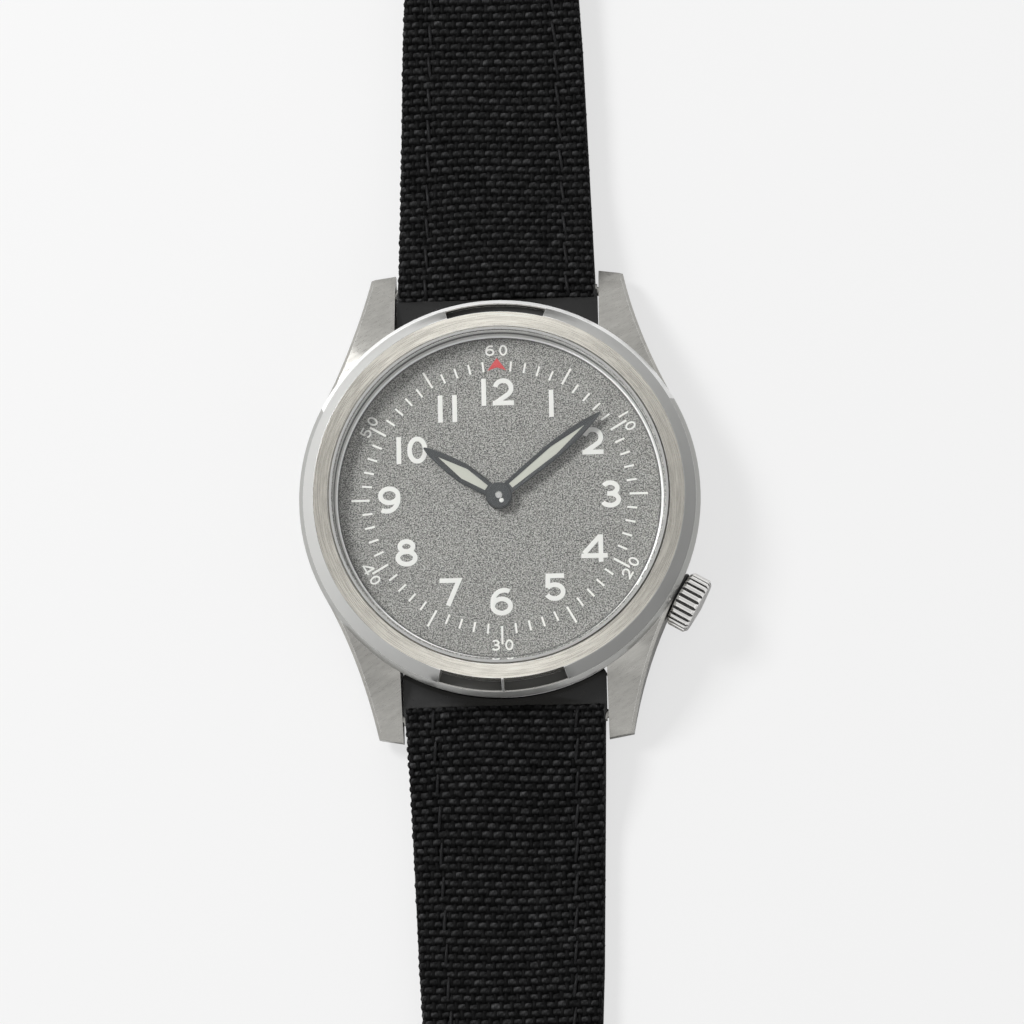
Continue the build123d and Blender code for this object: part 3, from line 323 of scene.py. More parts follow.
def clearCrystal():
    material, tree, shader = newTree("clearCrystal")
    setInputs(shader, Base_Color=(1, 1, 1, 1), Roughness=0.0, IOR=1.45, Transmission_Weight=1.0)
    path = addNode(tree, "ShaderNodeLightPath").outputs
    passing = addNode(tree, "ShaderNodeBsdfTransparent").outputs[0]
    lit = mathNode(tree, "MAXIMUM", path["Is Shadow Ray"], path["Is Diffuse Ray"])
    mixShaders(tree, lit, shader.outputs[0], passing)
    return material


# painted highlight on the bezel: lighter towards 12 and 6 o'clock, duller at 3 and 9
bezelPaintedSheen = {"reach": 18.6, "bright": 1.5, "dull": 0.78, "start": 0.15, "end": 0.95}


def spreadSheen(material, sheen):
    # painted highlight: the colour is lighter towards 12 and 6 o'clock, where round brushing throws its
    # light, and duller at the sides
    tree = material.node_tree
    color = tree.nodes["Principled BSDF"].inputs["Base Color"]
    sideways = mathNode(tree, "DIVIDE", splitPlace(tree)["X"], sheen["reach"] * mm)
    sideways = mathNode(tree, "ABSOLUTE", sideways)
    tone = spreadTo(tree, sideways, sheen["bright"], sheen["dull"], sheen["start"], sheen["end"])
    tree.links.new(scaled(tree, color.links[0].from_socket, tone), color)


def toneBy(material, axis, span, tones, bothSides=False):
    # painted light and shade: scales the colour along a direction across the watch, in millimetres
    tree = material.node_tree
    color = tree.nodes["Principled BSDF"].inputs["Base Color"]
    along = vectorNode(tree, "DOT_PRODUCT", objectPlace(tree), (*axis, 0))["Value"]
    if bothSides:
        along = mathNode(tree, "ABSOLUTE", along)
    tone = spreadTo(tree, along, *tones, span[0] * mm, span[1] * mm)
    tree.links.new(scaled(tree, color.default_value[:3], tone), color)


def bandRing(material, reach, width, dark):
    # painted shade: one thin dark line round the dial's wall, standing for a groove in shade
    tree = material.node_tree
    color = tree.nodes["Principled BSDF"].inputs["Base Color"]
    light = color.default_value[:3]
    inside = mathNode(tree, "COMPARE", axisDistance(tree), reach * mm, width / 2 * mm)
    tree.links.new(mixColor(tree, inside, light, [channel * dark for channel in light]), color)


steelColor = (0.41, 0.402, 0.378)

finishes = {
    brushedMetal: {
        "lugSteel": {"color": steelColor, "rough": 0.3, "turn": -35, "along": 300.0},
        "barSteel": {"color": steelColor, "rough": 0.3, "along": 2500.0, "across": 2500.0},
        "buckleSteel": {"color": steelColor, "rough": 0.24, "turn": 90, "along": 250.0},
        "stampedSteel": {"color": (0.42, 0.42, 0.42), "rough": 0.35, "turn": 20},
        "copperWire": {"color": (0.75, 0.33, 0.16), "rough": 0.35, "turn": 90, "across": 12000.0,
                       "along": 200.0},
    },
    turnedMetal: {
        "bezelSteel": {"color": (0.63, 0.605, 0.545), "rough": 0.27, "along": 7.0, "contrast": 0.2},
        "backSteel": {"color": steelColor, "rough": 0.32, "along": 5.0},
        "turnedBrass": {"color": (0.72, 0.52, 0.22), "rough": 0.3, "along": 12.0},
    },
    polishedMetal: {
        "ringSteel": {"color": (0.78, 0.78, 0.76), "rough": 0.35, "metallic": 0.35},
        # painted highlights: near-white, barely metallic colours for edges that catch the light
        "polishedEdge": {"color": (0.96, 0.96, 0.95), "rough": 0.3, "metallic": 0.45},
        "bezelEdge": {"color": (0.96, 0.96, 0.95), "rough": 0.3, "metallic": 0.45},
        "flankSteel": {"color": (0.6, 0.6, 0.585), "rough": 0.34, "metallic": 0.6},
        # painted highlight: the rim's upper half near-white, the lower half plain steel
        "rimBright": {"color": (0.97, 0.97, 0.96), "rough": 0.35, "metallic": 0.1},
        "rimPlain": {"color": (0.43, 0.43, 0.415), "rough": 0.3, "metallic": 0.7},
        "crownSteel": {"color": (0.85, 0.84, 0.82), "rough": 0.07},
        "pinSteel": {"color": (0.75, 0.75, 0.74), "rough": 0.12},
    },
    plainCoat: {
        # painted shade: the recess floors near black at 12 and dark grey at 6
        "deepPocket": {"color": (0.012, 0.012, 0.012), "rough": 0.5},
        "shadedPocket": {"color": (0.07, 0.07, 0.067), "rough": 0.45},
        # painted shade: the crown's grooves near black
        "grooveSteel": {"color": (0.015, 0.015, 0.014), "rough": 0.5},
        "paleNylon": {"color": (0.42, 0.42, 0.41), "rough": 0.4},
        "slateLacquer": {"color": (0.014, 0.018, 0.02), "rough": 0.42, "grain": 2500.0, "bump": 0.05},
        "numeralPaint": {"color": (0.82, 0.825, 0.79), "rough": 0.6, "grain": 9000.0, "bump": 0.2,
                         "spread": 0.05},
        "lumePaint": {"color": (0.55, 0.56, 0.49), "rough": 0.75, "grain": 11000.0, "bump": 0.35,
                      "spread": 0.08},
        "markerRed": {"color": (0.55, 0.045, 0.05), "rough": 0.5, "grain": 9000.0, "bump": 0.2,
                      "spread": 0.08},
        "whitePlastic": {"color": (0.78, 0.78, 0.75), "rough": 0.5},
        "blackRubber": {"color": (0.02, 0.02, 0.02), "rough": 0.65},
        "boardGreen": {"color": (0.02, 0.12, 0.05), "rough": 0.4, "grain": 1500.0, "bump": 0.1, "spread": 0.2,
                       "coat": 0.3},
        "liningLeather": {"color": (0.006, 0.006, 0.006), "rough": 0.3, "grain": 2600.0, "bump": 0.35,
                          "spread": 0.25},
    },
    wovenCloth: {
        "canvasThread": {"color": (0.04, 0.04, 0.041), "rough": 0.55, "across": 9000.0, "along": 2500.0,
                         "bump": 0.6, "shine": 0.05, "toned": True},
        "canvasBase": {"color": (0.002, 0.002, 0.002), "rough": 0.9, "across": 4000.0, "along": 4000.0,
                       "bump": 0.4, "shine": 0.05},
        "stitchThread": {"color": (0.008, 0.008, 0.0085), "rough": 0.5, "across": 9000.0, "along": 3500.0,
                         "bump": 0.5, "shine": 0.15},
    },
}

looks = {"dialGrain": dialGrain(), "clearCrystal": clearCrystal()}
for makeFinish, named in finishes.items():
    for name, values in named.items():
        looks[name] = makeFinish(name, **values)

# painted highlight on the bezel towards 12 and 6 o'clock
spreadSheen(looks["bezelSteel"], bezelPaintedSheen)
# painted shade: the flank darker towards the lower right
toneBy(looks["flankSteel"], (0.82, -0.57), (-12.0, 18.0), (1.0, 0.5))
# painted highlight: the bezel's eased edges bright near 12 and 6 o'clock, darker towards 3 and 9
toneBy(looks["bezelEdge"], (1, 0), (6.2, 7.6), (1.0, 0.42), bothSides=True)
# painted shade: a thin dark line on the dial's wall
bandRing(looks["ringSteel"], 16.27, 0.09, 0.12)

nodeLooks = {
    "lugSteel": ("mid_case",),
    "bezelSteel": ("bezel",),
    "backSteel": ("case_back",),
    "barSteel": ("crown_tube", "upper_spring_bar", "lower_spring_bar", "upper_left_tip", "upper_right_tip",
                 "lower_left_tip", "lower_right_tip"),
    "buckleSteel": ("buckle_frame", "buckle_bar", "buckle_tongue"),
    "stampedSteel": ("train_bridge", "battery_clamp", "stator", "coil_core", "bridge_screws", "rotor",
                     "winding_stem", "clutch_wheel"),
    "ringSteel": ("inner_ring",),
    "crownSteel": ("crown",),
    "pinSteel": ("battery", "oscillator", "center_wheel", "cannon_pinion"),
    "turnedBrass": ("main_plate", "hour_wheel", "minute_wheel", "third_wheel", "step_wheel"),
    "copperWire": ("coil_winding",),
    "dialGrain": ("dial",),
    "clearCrystal": ("crystal",),
    "slateLacquer": ("hour_hand", "minute_hand"),
    "lumePaint": ("hour_lume", "minute_lume"),
    "whitePlastic": ("movement_holder",),
    "paleNylon": ("crystal_gasket",),
    "blackRubber": ("back_gasket", "crown_seal"),
    "boardGreen": ("circuit_board",),
}
for look, names in nodeLooks.items():
    for name in names:
        slots = nodes[name].data.materials
        slots.clear()
        slots.append(looks[look])
print("materials made")


# Every new piece gets its look and its slot here, and rides its body

def dressPiece(piece, look, body):
    piece.data.materials.append(looks[look])
    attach(piece, body)
    return piece


def addPiece(name, mesh, look, body):
    piece = bpy.data.objects.new(name, mesh)
    bpy.context.scene.collection.objects.link(piece)
    return dressPiece(piece, look, body)


def shadeByAngle(mesh, degrees):
    mesh.polygons.foreach_set("use_smooth", [True] * len(mesh.polygons))
    mesh.set_sharp_from_angle(angle=math.radians(degrees))


# Dial print, in millimetres until the mesh is made

dialPrint = {
    "sink": 0.01, "rise": 0.06, "layer": 0.002, "hourStroke": 0.46,
    "minuteScale": 0.406, "minuteStroke": 0.17, "minuteReach": 14.68, "minuteSpread": 0.665,
    "tick": {"start": 12.6, "end": 13.6, "width": 0.19},
    "longTick": {"start": 12.8, "end": 14.6, "width": 0.21},
    "arrow": ((0, 13.92), (0.93, 12.65), (0, 12.98), (-0.93, 12.65)),
}

hourPlaces = {
    "1": ((5.3, 9.2),), "2": ((9.3, 5.35),), "3": ((10.9, 0),), "4": ((9.2, -5.35),), "5": ((5.25, -9.1),),
    "6": ((0, -10.4),), "7": ((-4.95, -9.3),), "8": ((-9.25, -5.3),), "9": ((-10.85, 0),),
    "10": ((-9.83, 4.9), (-8.0, 4.9)), "11": ((-5.66, 8.95), (-4.24, 8.95)),
    "12": ((-1.34, 10.5), (0.58, 10.5)),
}

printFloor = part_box("dial")[1][2] / mm - dialPrint["sink"]


def sweep(center, radii, start, stop, steps=22):
    points = []
    for index in range(steps + 1):
        turn = math.radians(start + (stop - start) * index / steps)
        points.append((center[0] + radii[0] * math.cos(turn), center[1] + radii[1] * math.sin(turn)))
    return points


# each digit is a few pen strokes on a cell 2.71 high, drawn about its middle
digitStrokes = {
    "0": [sweep((0, 0), (0.77, 1.125), 0, 360, 36)],
    "1": [[(0, 1.355), (0, -1.355)]],
    "2": [sweep((0, 0.345), (0.79, 0.78), 168, -55) + [(-0.8, -1.125)], [(-1.04, -1.125), (1.04, -1.125)]],
    "3": [sweep((0, 0.585), (0.7, 0.54), 152, -90), [(-0.3, 0.045), (0.05, 0.045)],
          sweep((0, -0.54), (0.81, 0.585), 90, -154)],
    "4": [[(0.58, 1.2), (-1.0, -0.5)], [(-1.28, -0.73), (1.3, -0.73)], [(0.65, 1.355), (0.65, -1.355)]],
    "5": [[(0.92, 1.125), (-0.66, 1.125), (-0.7, -0.05)], sweep((-0.02, -0.4375), (0.83, 0.6875), 147, -154)],
    "6": [sweep((0, -0.425), (0.87, 0.7), 0, 360, 32),
          [(-0.87, -0.425)] + sweep((0.25, -0.1), (1.12, 1.225), 180, 62)],
    "7": [[(-1.1, 1.125), (0.8, 1.125), (-0.3, -1.34)]],
    "8": [sweep((0, 0.625), (0.65, 0.5), 0, 360, 28), sweep((0, -0.5), (0.86, 0.625), 0, 360, 32)],
}
digitStrokes["9"] = [[(-x, -y) for x, y in stroke] for stroke in digitStrokes["6"]]


def ribbonEdges(points, width):
    # the two edges of a pen stroke, mitred at its bends
    closed = math.dist(points[0], points[-1]) < 0.0001
    if closed:
        points = points[:-1]
    count = len(points)
    left, right = [], []
    for index, point in enumerate(points):
        middle = Vector(point)
        legs = []
        if closed or index:
            legs.append((middle - Vector(points[index - 1])).normalized())
        if closed or index < count - 1:
            legs.append((Vector(points[(index + 1) % count]) - middle).normalized())
        along = sum(legs, Vector((0, 0))).normalized()
        side = Vector((-along.y, along.x))
        reach = width / 2 / max(0.35, along.dot(legs[0]))
        left.append(middle + side * reach)
        right.append(middle - side * reach)
    if closed:
        left.append(left[0])
        right.append(right[0])
    return left, right, closed


class DialInk:
    def __init__(self):
        self.points = []
        self.faces = []
        self.layers = 0

    def addPlate(self, corners):
        start, count = len(self.points), len(corners)
        for z in (printFloor, printFloor + dialPrint["rise"]):
            self.points.extend((x * mm, y * mm, z * mm) for x, y in corners)
        self.faces.append([start + count + index for index in range(count)])
        for index in range(count):
            after = (index + 1) % count
            self.faces.append([start + index, start + after, start + count + after, start + count + index])

    def addStroke(self, points, width, place, turn=0.0, scale=1.0):
        # every stroke stands a hair above the one before, so crossings stay clean
        self.layers = (self.layers + 1) % 4
        high = printFloor + dialPrint["rise"] + self.layers * dialPrint["layer"]
        left, right, closed = ribbonEdges(points, width / scale)
        swing = Matrix.Rotation(turn, 2)
        start = len(self.points)
        for pair in zip(left, right):
            spots = [swing @ (point * scale) + Vector(place) for point in pair]
            for z in (printFloor, high):
                self.points.extend((spot.x * mm, spot.y * mm, z * mm) for spot in spots)
        for a in range(start, start + (len(left) - 1) * 4, 4):
            b = a + 4
            self.faces.append([a + 2, a + 3, b + 3, b + 2])
            self.faces.append([a, a + 2, b + 2, b])
            self.faces.append([a + 3, a + 1, b + 1, b + 3])
        if not closed:
            end = start + (len(left) - 1) * 4
            self.faces.append([start, start + 1, start + 3, start + 2])
            self.faces.append([end + 1, end, end + 2, end + 3])

    def build(self, name, look):
        mesh = bpy.data.meshes.new(name)
        mesh.from_pydata(self.points, [], self.faces)
        addPiece(name, mesh, look, "case")


def makeHourNumerals():
    ink = DialInk()
    for text, places in hourPlaces.items():
        for digit, place in zip(text, places):
            for stroke in digitStrokes[digit]:
                ink.addStroke(stroke, dialPrint["hourStroke"], place)
    ink.build("hour_numerals", "numeralPaint")


def makeTicks():
    ink = DialInk()
    for minute in range(1, 60):
        size = dialPrint["tick" if minute % 5 else "longTick"]
        swing = Matrix.Rotation(-math.radians(minute * 6), 2)
        line = [tuple(swing @ Vector((0, size[end]))) for end in ("start", "end")]
        ink.addStroke(line, size["width"], (0, 0))
    ink.build("minute_ticks", "numeralPaint")


def makeMinuteNumbers():
    ink = DialInk()
    for minute in (60, 10, 20, 30, 40, 50):
        turn = -math.radians(minute * 6)
        swing = Matrix.Rotation(turn, 2)
        # those in the lower half stand the other way up
        flipped = minute in (20, 30, 40)
        for index, digit in enumerate(str(minute)):
            across = (index * 2 - 1) * dialPrint["minuteSpread"] * (-1 if flipped else 1)
            place = swing @ Vector((across, dialPrint["minuteReach"]))
            for stroke in digitStrokes[digit]:
                ink.addStroke(stroke, dialPrint["minuteStroke"], place, turn + (math.pi if flipped else 0),
                              dialPrint["minuteScale"])
    ink.build("minute_numbers", "numeralPaint")


def makeArrow():
    ink = DialInk()
    tip, right, notch, left = dialPrint["arrow"]
    ink.addPlate((tip, left, notch))
    ink.addPlate((tip, notch, right))
    ink.build("zero_arrow", "markerRed")


makeHourNumerals()
makeTicks()
makeMinuteNumbers()
makeArrow()
print("dial printed")


# Strap: lengths in millimetres, x across and y along from the spring bar

strapShape = {
    "wrapRadius": 1.9, "wrapAngle": (150.0, 119.0), "slope": (0.5, 13.0), "thickness": 2.2, "pastEnd": 12.0,
    "widths": ((-8.0, 9.9), (0.0, 9.9), (25.0, 9.15), (48.0, 8.0)),
    "foldRadius": 0.55, "foldDepth": 1.3, "seamInset": 2.8, "seamDepth": 0.14, "seamWidth": 0.42,
}

strapHalves = {
    "upper": {"sign": 1, "lift": 1.0, "end": 76.95, "point": None, "body": "upper_strap",
              "slot": (1.3, 71.0), "holes": None, "seed": 11},
    "lower": {"sign": -1, "lift": 0.0, "end": 118.0, "point": (11.0, 0.62, 0.72), "body": "lower_strap",
              "slot": None, "holes": {"first": 91.0, "pitch": 6.6, "count": 8, "radius": 1.05}, "seed": 12},
}

barLow, barHigh = (Vector(corner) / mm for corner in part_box("upper_spring_bar"))
barY, barZ = (barLow.y + barHigh.y) / 2, (barLow.z + barHigh.z) / 2

# how far past the outline the cloth reaches before it is folded down
spill = strapShape["foldDepth"] + strapShape["foldRadius"] * (math.pi / 2 - 2)


def arcThrough(first, middle, last, count):
    # points of the circle that goes through three places
    (ax, ay), (bx, by), (cx, cy) = first, middle, last
    spread = 2 * (ax * (by - cy) + bx * (cy - ay) + cx * (ay - by))
    squares = [x * x + y * y for x, y in (first, middle, last)]
    ux = (squares[0] * (by - cy) + squares[1] * (cy - ay) + squares[2] * (ay - by)) / spread
    uy = (squares[0] * (cx - bx) + squares[1] * (ax - cx) + squares[2] * (bx - ax)) / spread
    start = math.atan2(ay - uy, ax - ux)
    stop = math.atan2(cy - uy, cx - ux)
    radius = math.hypot(ax - ux, ay - uy)
    return [(ux + radius * math.cos(start + (stop - start) * index / count),
             uy + radius * math.sin(start + (stop - start) * index / count)) for index in range(1, count + 1)]


def strapOutline(half):
    # the half's edge from above, from the case round the end and back
    right = [(width, y) for y, width in strapShape["widths"]]
    edge = right[-1][0]
    if half["point"]:
        length, share, bend = half["point"]
        start = half["end"] - length
        right.append((edge, start))
        right += arcThrough((edge, start), (edge * bend, start + length * share), (0, half["end"]), 24)
        left = [(-x, y) for x, y in reversed(right[:-1])]
    else:
        right.append((edge, half["end"] + strapShape["pastEnd"]))
        left = [(-x, y) for x, y in reversed(right)]
    return np.array(right + left)


def strapPath(half):
    # the canvas's top along the half: round the bar, down the slope, then flat
    radius = strapShape["wrapRadius"]
    wrapStart, threadStart = strapShape["wrapAngle"]
    low, high = half["lift"] + strapShape["thickness"], barZ + radius
    points = []
    for degrees in np.linspace(wrapStart, 90, 16):
        turn = math.radians(degrees)
        points.append((radius * math.cos(turn), barZ + radius * math.sin(turn)))
    start, stop = strapShape["slope"]
    for share in np.linspace(0, 1, 40):
        ease = share * share * (3 - 2 * share)
        points.append((start + (stop - start) * share, high + (low - high) * ease))
    points.append((half["end"] + strapShape["pastEnd"] + 2, low))
    points = np.array(points)
    along = np.concatenate(([0], np.cumsum(np.hypot(*np.diff(points, axis=0).T))))
    along += stop - np.interp(stop, points[:, 0], along)
    begin = np.interp(radius * math.cos(math.radians(threadStart)), points[:, 0], along)
    return along, points, begin


def strapPlacer(half):
    # turns (x, along, height over the canvas) into places in metres, edges folded down
    shape = strapShape
    outline = strapOutline(half)
    along, points, begin = strapPath(half)
    starts = outline[:-1]
    runs = outline[1:] - starts
    lengths = np.hypot(*runs.T)
    units = runs / lengths[:, None]
    outward = np.stack([units[:, 1], -units[:, 0]], 1)
    radius = shape["foldRadius"]
    batch = 4000
    nearby = 0.2

    def edgeDistance(x, y):
        flat = np.stack([x, y], 1)
        distance = np.empty(len(flat))
        normal = np.empty((len(flat), 2))
        for first in range(0, len(flat), batch):
            part = flat[first:first + batch]
            offset = part[:, None, :] - starts[None]
            reach = np.clip((offset * units[None]).sum(2), 0, lengths[None])
            gap = offset - reach[:, :, None] * units[None]
            best = np.hypot(gap[:, :, 0], gap[:, :, 1]).argmin(1)
            pick = np.arange(len(part))
            normal[first:first + batch] = outward[best]
            distance[first:first + batch] = -(offset[pick, best] * outward[best]).sum(1)
        return distance, normal

    def onPath(y):
        return np.interp(y, along, points[:, 0]), np.interp(y, along, points[:, 1])

    def place(x, y, height):
        distance, normal = edgeDistance(x, y)
        seam = (distance - shape["seamInset"]) / shape["seamWidth"]
        height = height - shape["seamDepth"] * np.exp(-seam * seam)
        over = np.maximum(radius - distance, 0)
        turn = np.minimum(over / radius, math.pi / 2)
        extra = np.clip(over - radius * math.pi / 2, 0, shape["foldDepth"] - radius)
        shift = np.where(over > 0, (radius + height) * np.sin(turn) - over, 0)
        x, y = x + normal[:, 0] * shift, y + normal[:, 1] * shift
        height = np.where(over > 0, (radius + height) * np.cos(turn) - radius - extra, height)
        spotY, spotZ = onPath(y)
        (nextY, nextZ), (lastY, lastZ) = onPath(y + nearby), onPath(y - nearby)
        size = np.hypot(nextY - lastY, nextZ - lastZ)
        spotY = spotY - height * (nextZ - lastZ) / size
        spotZ = spotZ + height * (nextY - lastY) / size
        return np.stack([x, half["sign"] * (barY + spotY), spotZ], 1) * mm

    return place, edgeDistance, begin


def gridFaces(rows, columns):
    first = (np.arange(rows - 1)[:, None] * columns + np.arange(columns - 1)[None]).ravel()
    return np.stack([first, first + 1, first + columns + 1, first + columns], 1)


def strapPiece(name, points, faces, look, half):
    # quads in bulk, turned over on the lower half, whose y runs the other way
    mesh = bpy.data.meshes.new(name)
    faces = faces[:, ::-1] if half["sign"] < 0 else faces
    mesh.vertices.add(len(points))
    mesh.vertices.foreach_set("co", points.astype(np.float32).ravel())
    mesh.loops.add(faces.size)
    mesh.loops.foreach_set("vertex_index", faces.astype(np.int32).ravel())
    mesh.polygons.add(len(faces))
    mesh.polygons.foreach_set("loop_start", np.arange(0, faces.size, faces.shape[1], dtype=np.int32))
    mesh.polygons.foreach_set("use_smooth", np.ones(len(faces), dtype=bool))
    mesh.update(calc_edges=True)
    mesh.validate()
    return addPiece(name, mesh, look, half["body"])


def inSlot(half, x, y, margin):
    if not half["slot"]:
        return np.zeros(len(x), dtype=bool)
    halfWidth, start = half["slot"]
    return (np.abs(x) < halfWidth + margin) & (y > start - margin)


def nearestHole(holes, y):
    steps = np.round((holes["first"] - y) / holes["pitch"])
    return holes["first"] - holes["pitch"] * np.clip(steps, 0, holes["count"] - 1)


def inHole(half, x, y, margin):
    holes = half["holes"]
    if not holes:
        return np.zeros(len(x), dtype=bool)
    return np.hypot(x, y - nearestHole(holes, y)) < holes["radius"] + margin


def pushClear(half, start, x, y):
    # thread ends stop at the slot, the holes and the end instead of crossing them
    y = np.maximum(y, start)
    if half["slot"]:
        halfWidth, front = half["slot"]
        inside = inSlot(half, x, y, 0)
        nearFront = (y - front) < (halfWidth - np.abs(x))
        y = np.where(inside & nearFront, front, y)
        x = np.where(inside & ~nearFront, np.where(x < 0, -halfWidth, halfWidth), x)
    holes = half["holes"]
    if holes:
        nearest = nearestHole(holes, y)
        reach = np.maximum(np.hypot(x, y - nearest), 1e-6)
        grow = np.where(reach < holes["radius"], holes["radius"] / reach, 1)
        x, y = x * grow, nearest + (y - nearest) * grow
    if half["point"] is None:
        y = np.minimum(y, half["end"])
    return x, y


# Cloth skin: the closed cloth under the threads, folded down round both edges

clothSkin = {"columns": 56, "step": 0.55, "depth": -0.2, "thickness": 0.3, "margin": 0.3, "holeMargin": 0.1}


def makeClothSkin(name, half, place, edgeDistance, start):
    beyond = spill + clothSkin["margin"]
    wide = strapShape["widths"][0][1] + beyond
    stop = half["end"] if half["point"] is None else half["end"] + beyond
    xs = np.linspace(-wide, wide, clothSkin["columns"])
    ys = np.linspace(start, stop, int((stop - start) / clothSkin["step"]))
    x, y = [part.ravel() for part in np.meshgrid(xs, ys)]
    faces = gridFaces(len(ys), len(xs))
    middleX, middleY = x[faces].mean(1), y[faces].mean(1)
    outside = edgeDistance(x, y)[0] < -spill
    cut = outside[faces].all(1) | inSlot(half, middleX, middleY, 0)
    cut |= inHole(half, middleX, middleY, clothSkin["holeMargin"])
    points = place(*pushClear(half, start, x, y), np.full(len(x), clothSkin["depth"]))
    used, fresh = np.unique(faces[~cut], return_inverse=True)
    piece = strapPiece(name, points[used], fresh.reshape(-1, 4), "canvasBase", half)
    wall = piece.modifiers.new("cloth", "SOLIDIFY")
    wall.thickness = clothSkin["thickness"] * mm
    wall.offset = -1
    return piece


# Threads: each float is a small pillow of five by five points

weave = {
    "warpPitch": 0.547, "rowPitch": 0.8, "rowStart": 0.3, "base": -0.26,
    "steps": (-1, -0.62, 0, 0.62, 1), "domeFall": 0.75, "endWidth": 0.72,
    "weft": {"long": 1.12, "wide": 0.8, "top": 0.05}, "warp": {"long": 1.36, "wide": 0.56, "top": -0.02},
    "spare": 3, "edgeShare": 0.25, "endMargin": 0.1, "slotMargin": -0.1, "holeMargin": -0.15,
    "lean": 0.07, "swell": 0.06, "rise": 0.02, "jitterX": 0.035, "jitterY": 0.03,
    "drift": 0.2, "driftWaves": (0.33, 0.11, 0.06),
}

# how light a thread looks: painted shade falling from its top down its sides, a painted highlight across its
# upper side, how much darker the warp is, and how much threads differ
threadPaintedLight = {"least": 0.04, "topFall": 1.1, "highlightPlace": 0.5, "highlightBend": 0.9, "highlightWidth": 0.45,
              "warpShare": 0.5, "differ": 0.2}


def floatTile(kind):
    # how far across, along and up the points of one float lie
    size = weave[kind]
    u, v = [part.ravel() for part in np.meshgrid(weave["steps"], weave["steps"])]
    bow = np.cos(u * math.pi / 2)
    dome = bow ** weave["domeFall"] * np.sqrt(np.maximum(1 - v * v, 0))
    height = weave["base"] + (size["top"] - weave["base"]) * dome
    narrow = v * size["wide"] / 2 * (weave["endWidth"] + (1 - weave["endWidth"]) * bow)
    if kind == "weft":
        return u * size["long"] / 2, narrow, height
    return narrow, u * size["long"] / 2, height


def weaveFloats(half, edgeDistance, start):
    columns = int(strapShape["widths"][0][1] / weave["warpPitch"]) + weave["spare"]
    rows = int((half["end"] - start) / weave["rowPitch"]) + weave["spare"]
    column, row = [part.ravel() for part in np.meshgrid(np.arange(-columns, columns + 1), np.arange(rows))]
    x = column * weave["warpPitch"]
    y = start + (row + weave["rowStart"]) * weave["rowPitch"]
    kept = edgeDistance(x, y)[0] > weave["edgeShare"] * weave["warpPitch"] - spill
    kept &= (y < half["end"] - weave["endMargin"]) | (half["point"] is not None)
    kept &= ~inSlot(half, x, y, weave["slotMargin"]) & ~inHole(half, x, y, weave["holeMargin"])
    return x[kept], y[kept], ((column + row) % 2 == 0)[kept]


def threadLight(grain, half, across, along, up, weftUp):
    # painted light: thread sides are shaded darker than their tops, a painted highlight lies on their upper
    # side, and the warp, which lies lower, is made darker
    size, tone = weave["weft"], threadPaintedLight
    dome = np.clip((up - weave["base"]) / (size["top"] - weave["base"]), 0, 1) ** tone["topFall"]
    arch = tone["highlightPlace"] - tone["highlightBend"] * (across / (size["long"] / 2)) ** 2
    upper = half["sign"] * along / (size["wide"] / 2)
    highlight = np.exp(-(((upper - arch) / tone["highlightWidth"]) ** 2))
    light = (tone["least"] + dome * highlight) * np.where(weftUp, 1.0, tone["warpShare"])[:, None]
    return light * np.exp(grain.normal(0, tone["differ"], (len(up), 1)))


def makeWeave(name, half, place, edgeDistance, start):
    grain = np.random.default_rng(half["seed"])
    centreX, centreY, weftUp = weaveFloats(half, edgeDistance, start)
    count = len(centreX)
    warp, weft = floatTile("warp"), floatTile("weft")
    across, along, up = [np.where(weftUp[:, None], over, under) for over, under in zip(weft, warp)]
    # hand-loom unevenness: threads lean, swell and drift a little
    lean = grain.normal(0, weave["lean"], count)[:, None]
    swell = grain.normal(1, weave["swell"], (count, 1))
    rise = grain.normal(0, weave["rise"], (count, 1))
    centreX = centreX + grain.normal(0, weave["jitterX"], count)
    centreY = centreY + grain.normal(0, weave["jitterY"], count)
    waveX, waveY, slow = weave["driftWaves"]
    wave = np.sin(centreX * waveX + centreY * waveY + half["sign"]) * np.sin(centreY * slow + 1)
    x = centreX[:, None] + (across - along * lean) * swell
    y = (centreY + weave["drift"] * wave)[:, None] + (along + across * lean) * swell
    height = up + rise * (up > weave["base"] + weave["rise"])
    points = place(*pushClear(half, start, x.ravel(), y.ravel()), height.ravel())
    side = len(weave["steps"])
    faces = gridFaces(side, side) + (np.arange(count) * side * side)[:, None, None]
    piece = strapPiece(name, points, faces.reshape(-1, 4), "canvasThread", half)
    # painted shade and highlight on each thread, stored as its tone
    light = threadLight(grain, half, across, along, up, weftUp)
    mark = piece.data.attributes.new("tone", "FLOAT", "POINT")
    mark.data.foreach_set("value", light.astype(np.float32).ravel())
    return piece


# Seams: slanted stitches that sink into the seam at both ends

stitch = {
    "pitch": 3.35, "long": 3.0, "radius": 0.17, "lean": 0.16, "sides": 6, "steps": 7,
    "first": 1.4, "last": 1.5, "leastPitch": 0.4, "ahead": 0.1,
    "endWidth": 0.55, "widthFall": 0.6, "sunk": -0.42, "rise": 0.5, "riseFall": 0.7,
}


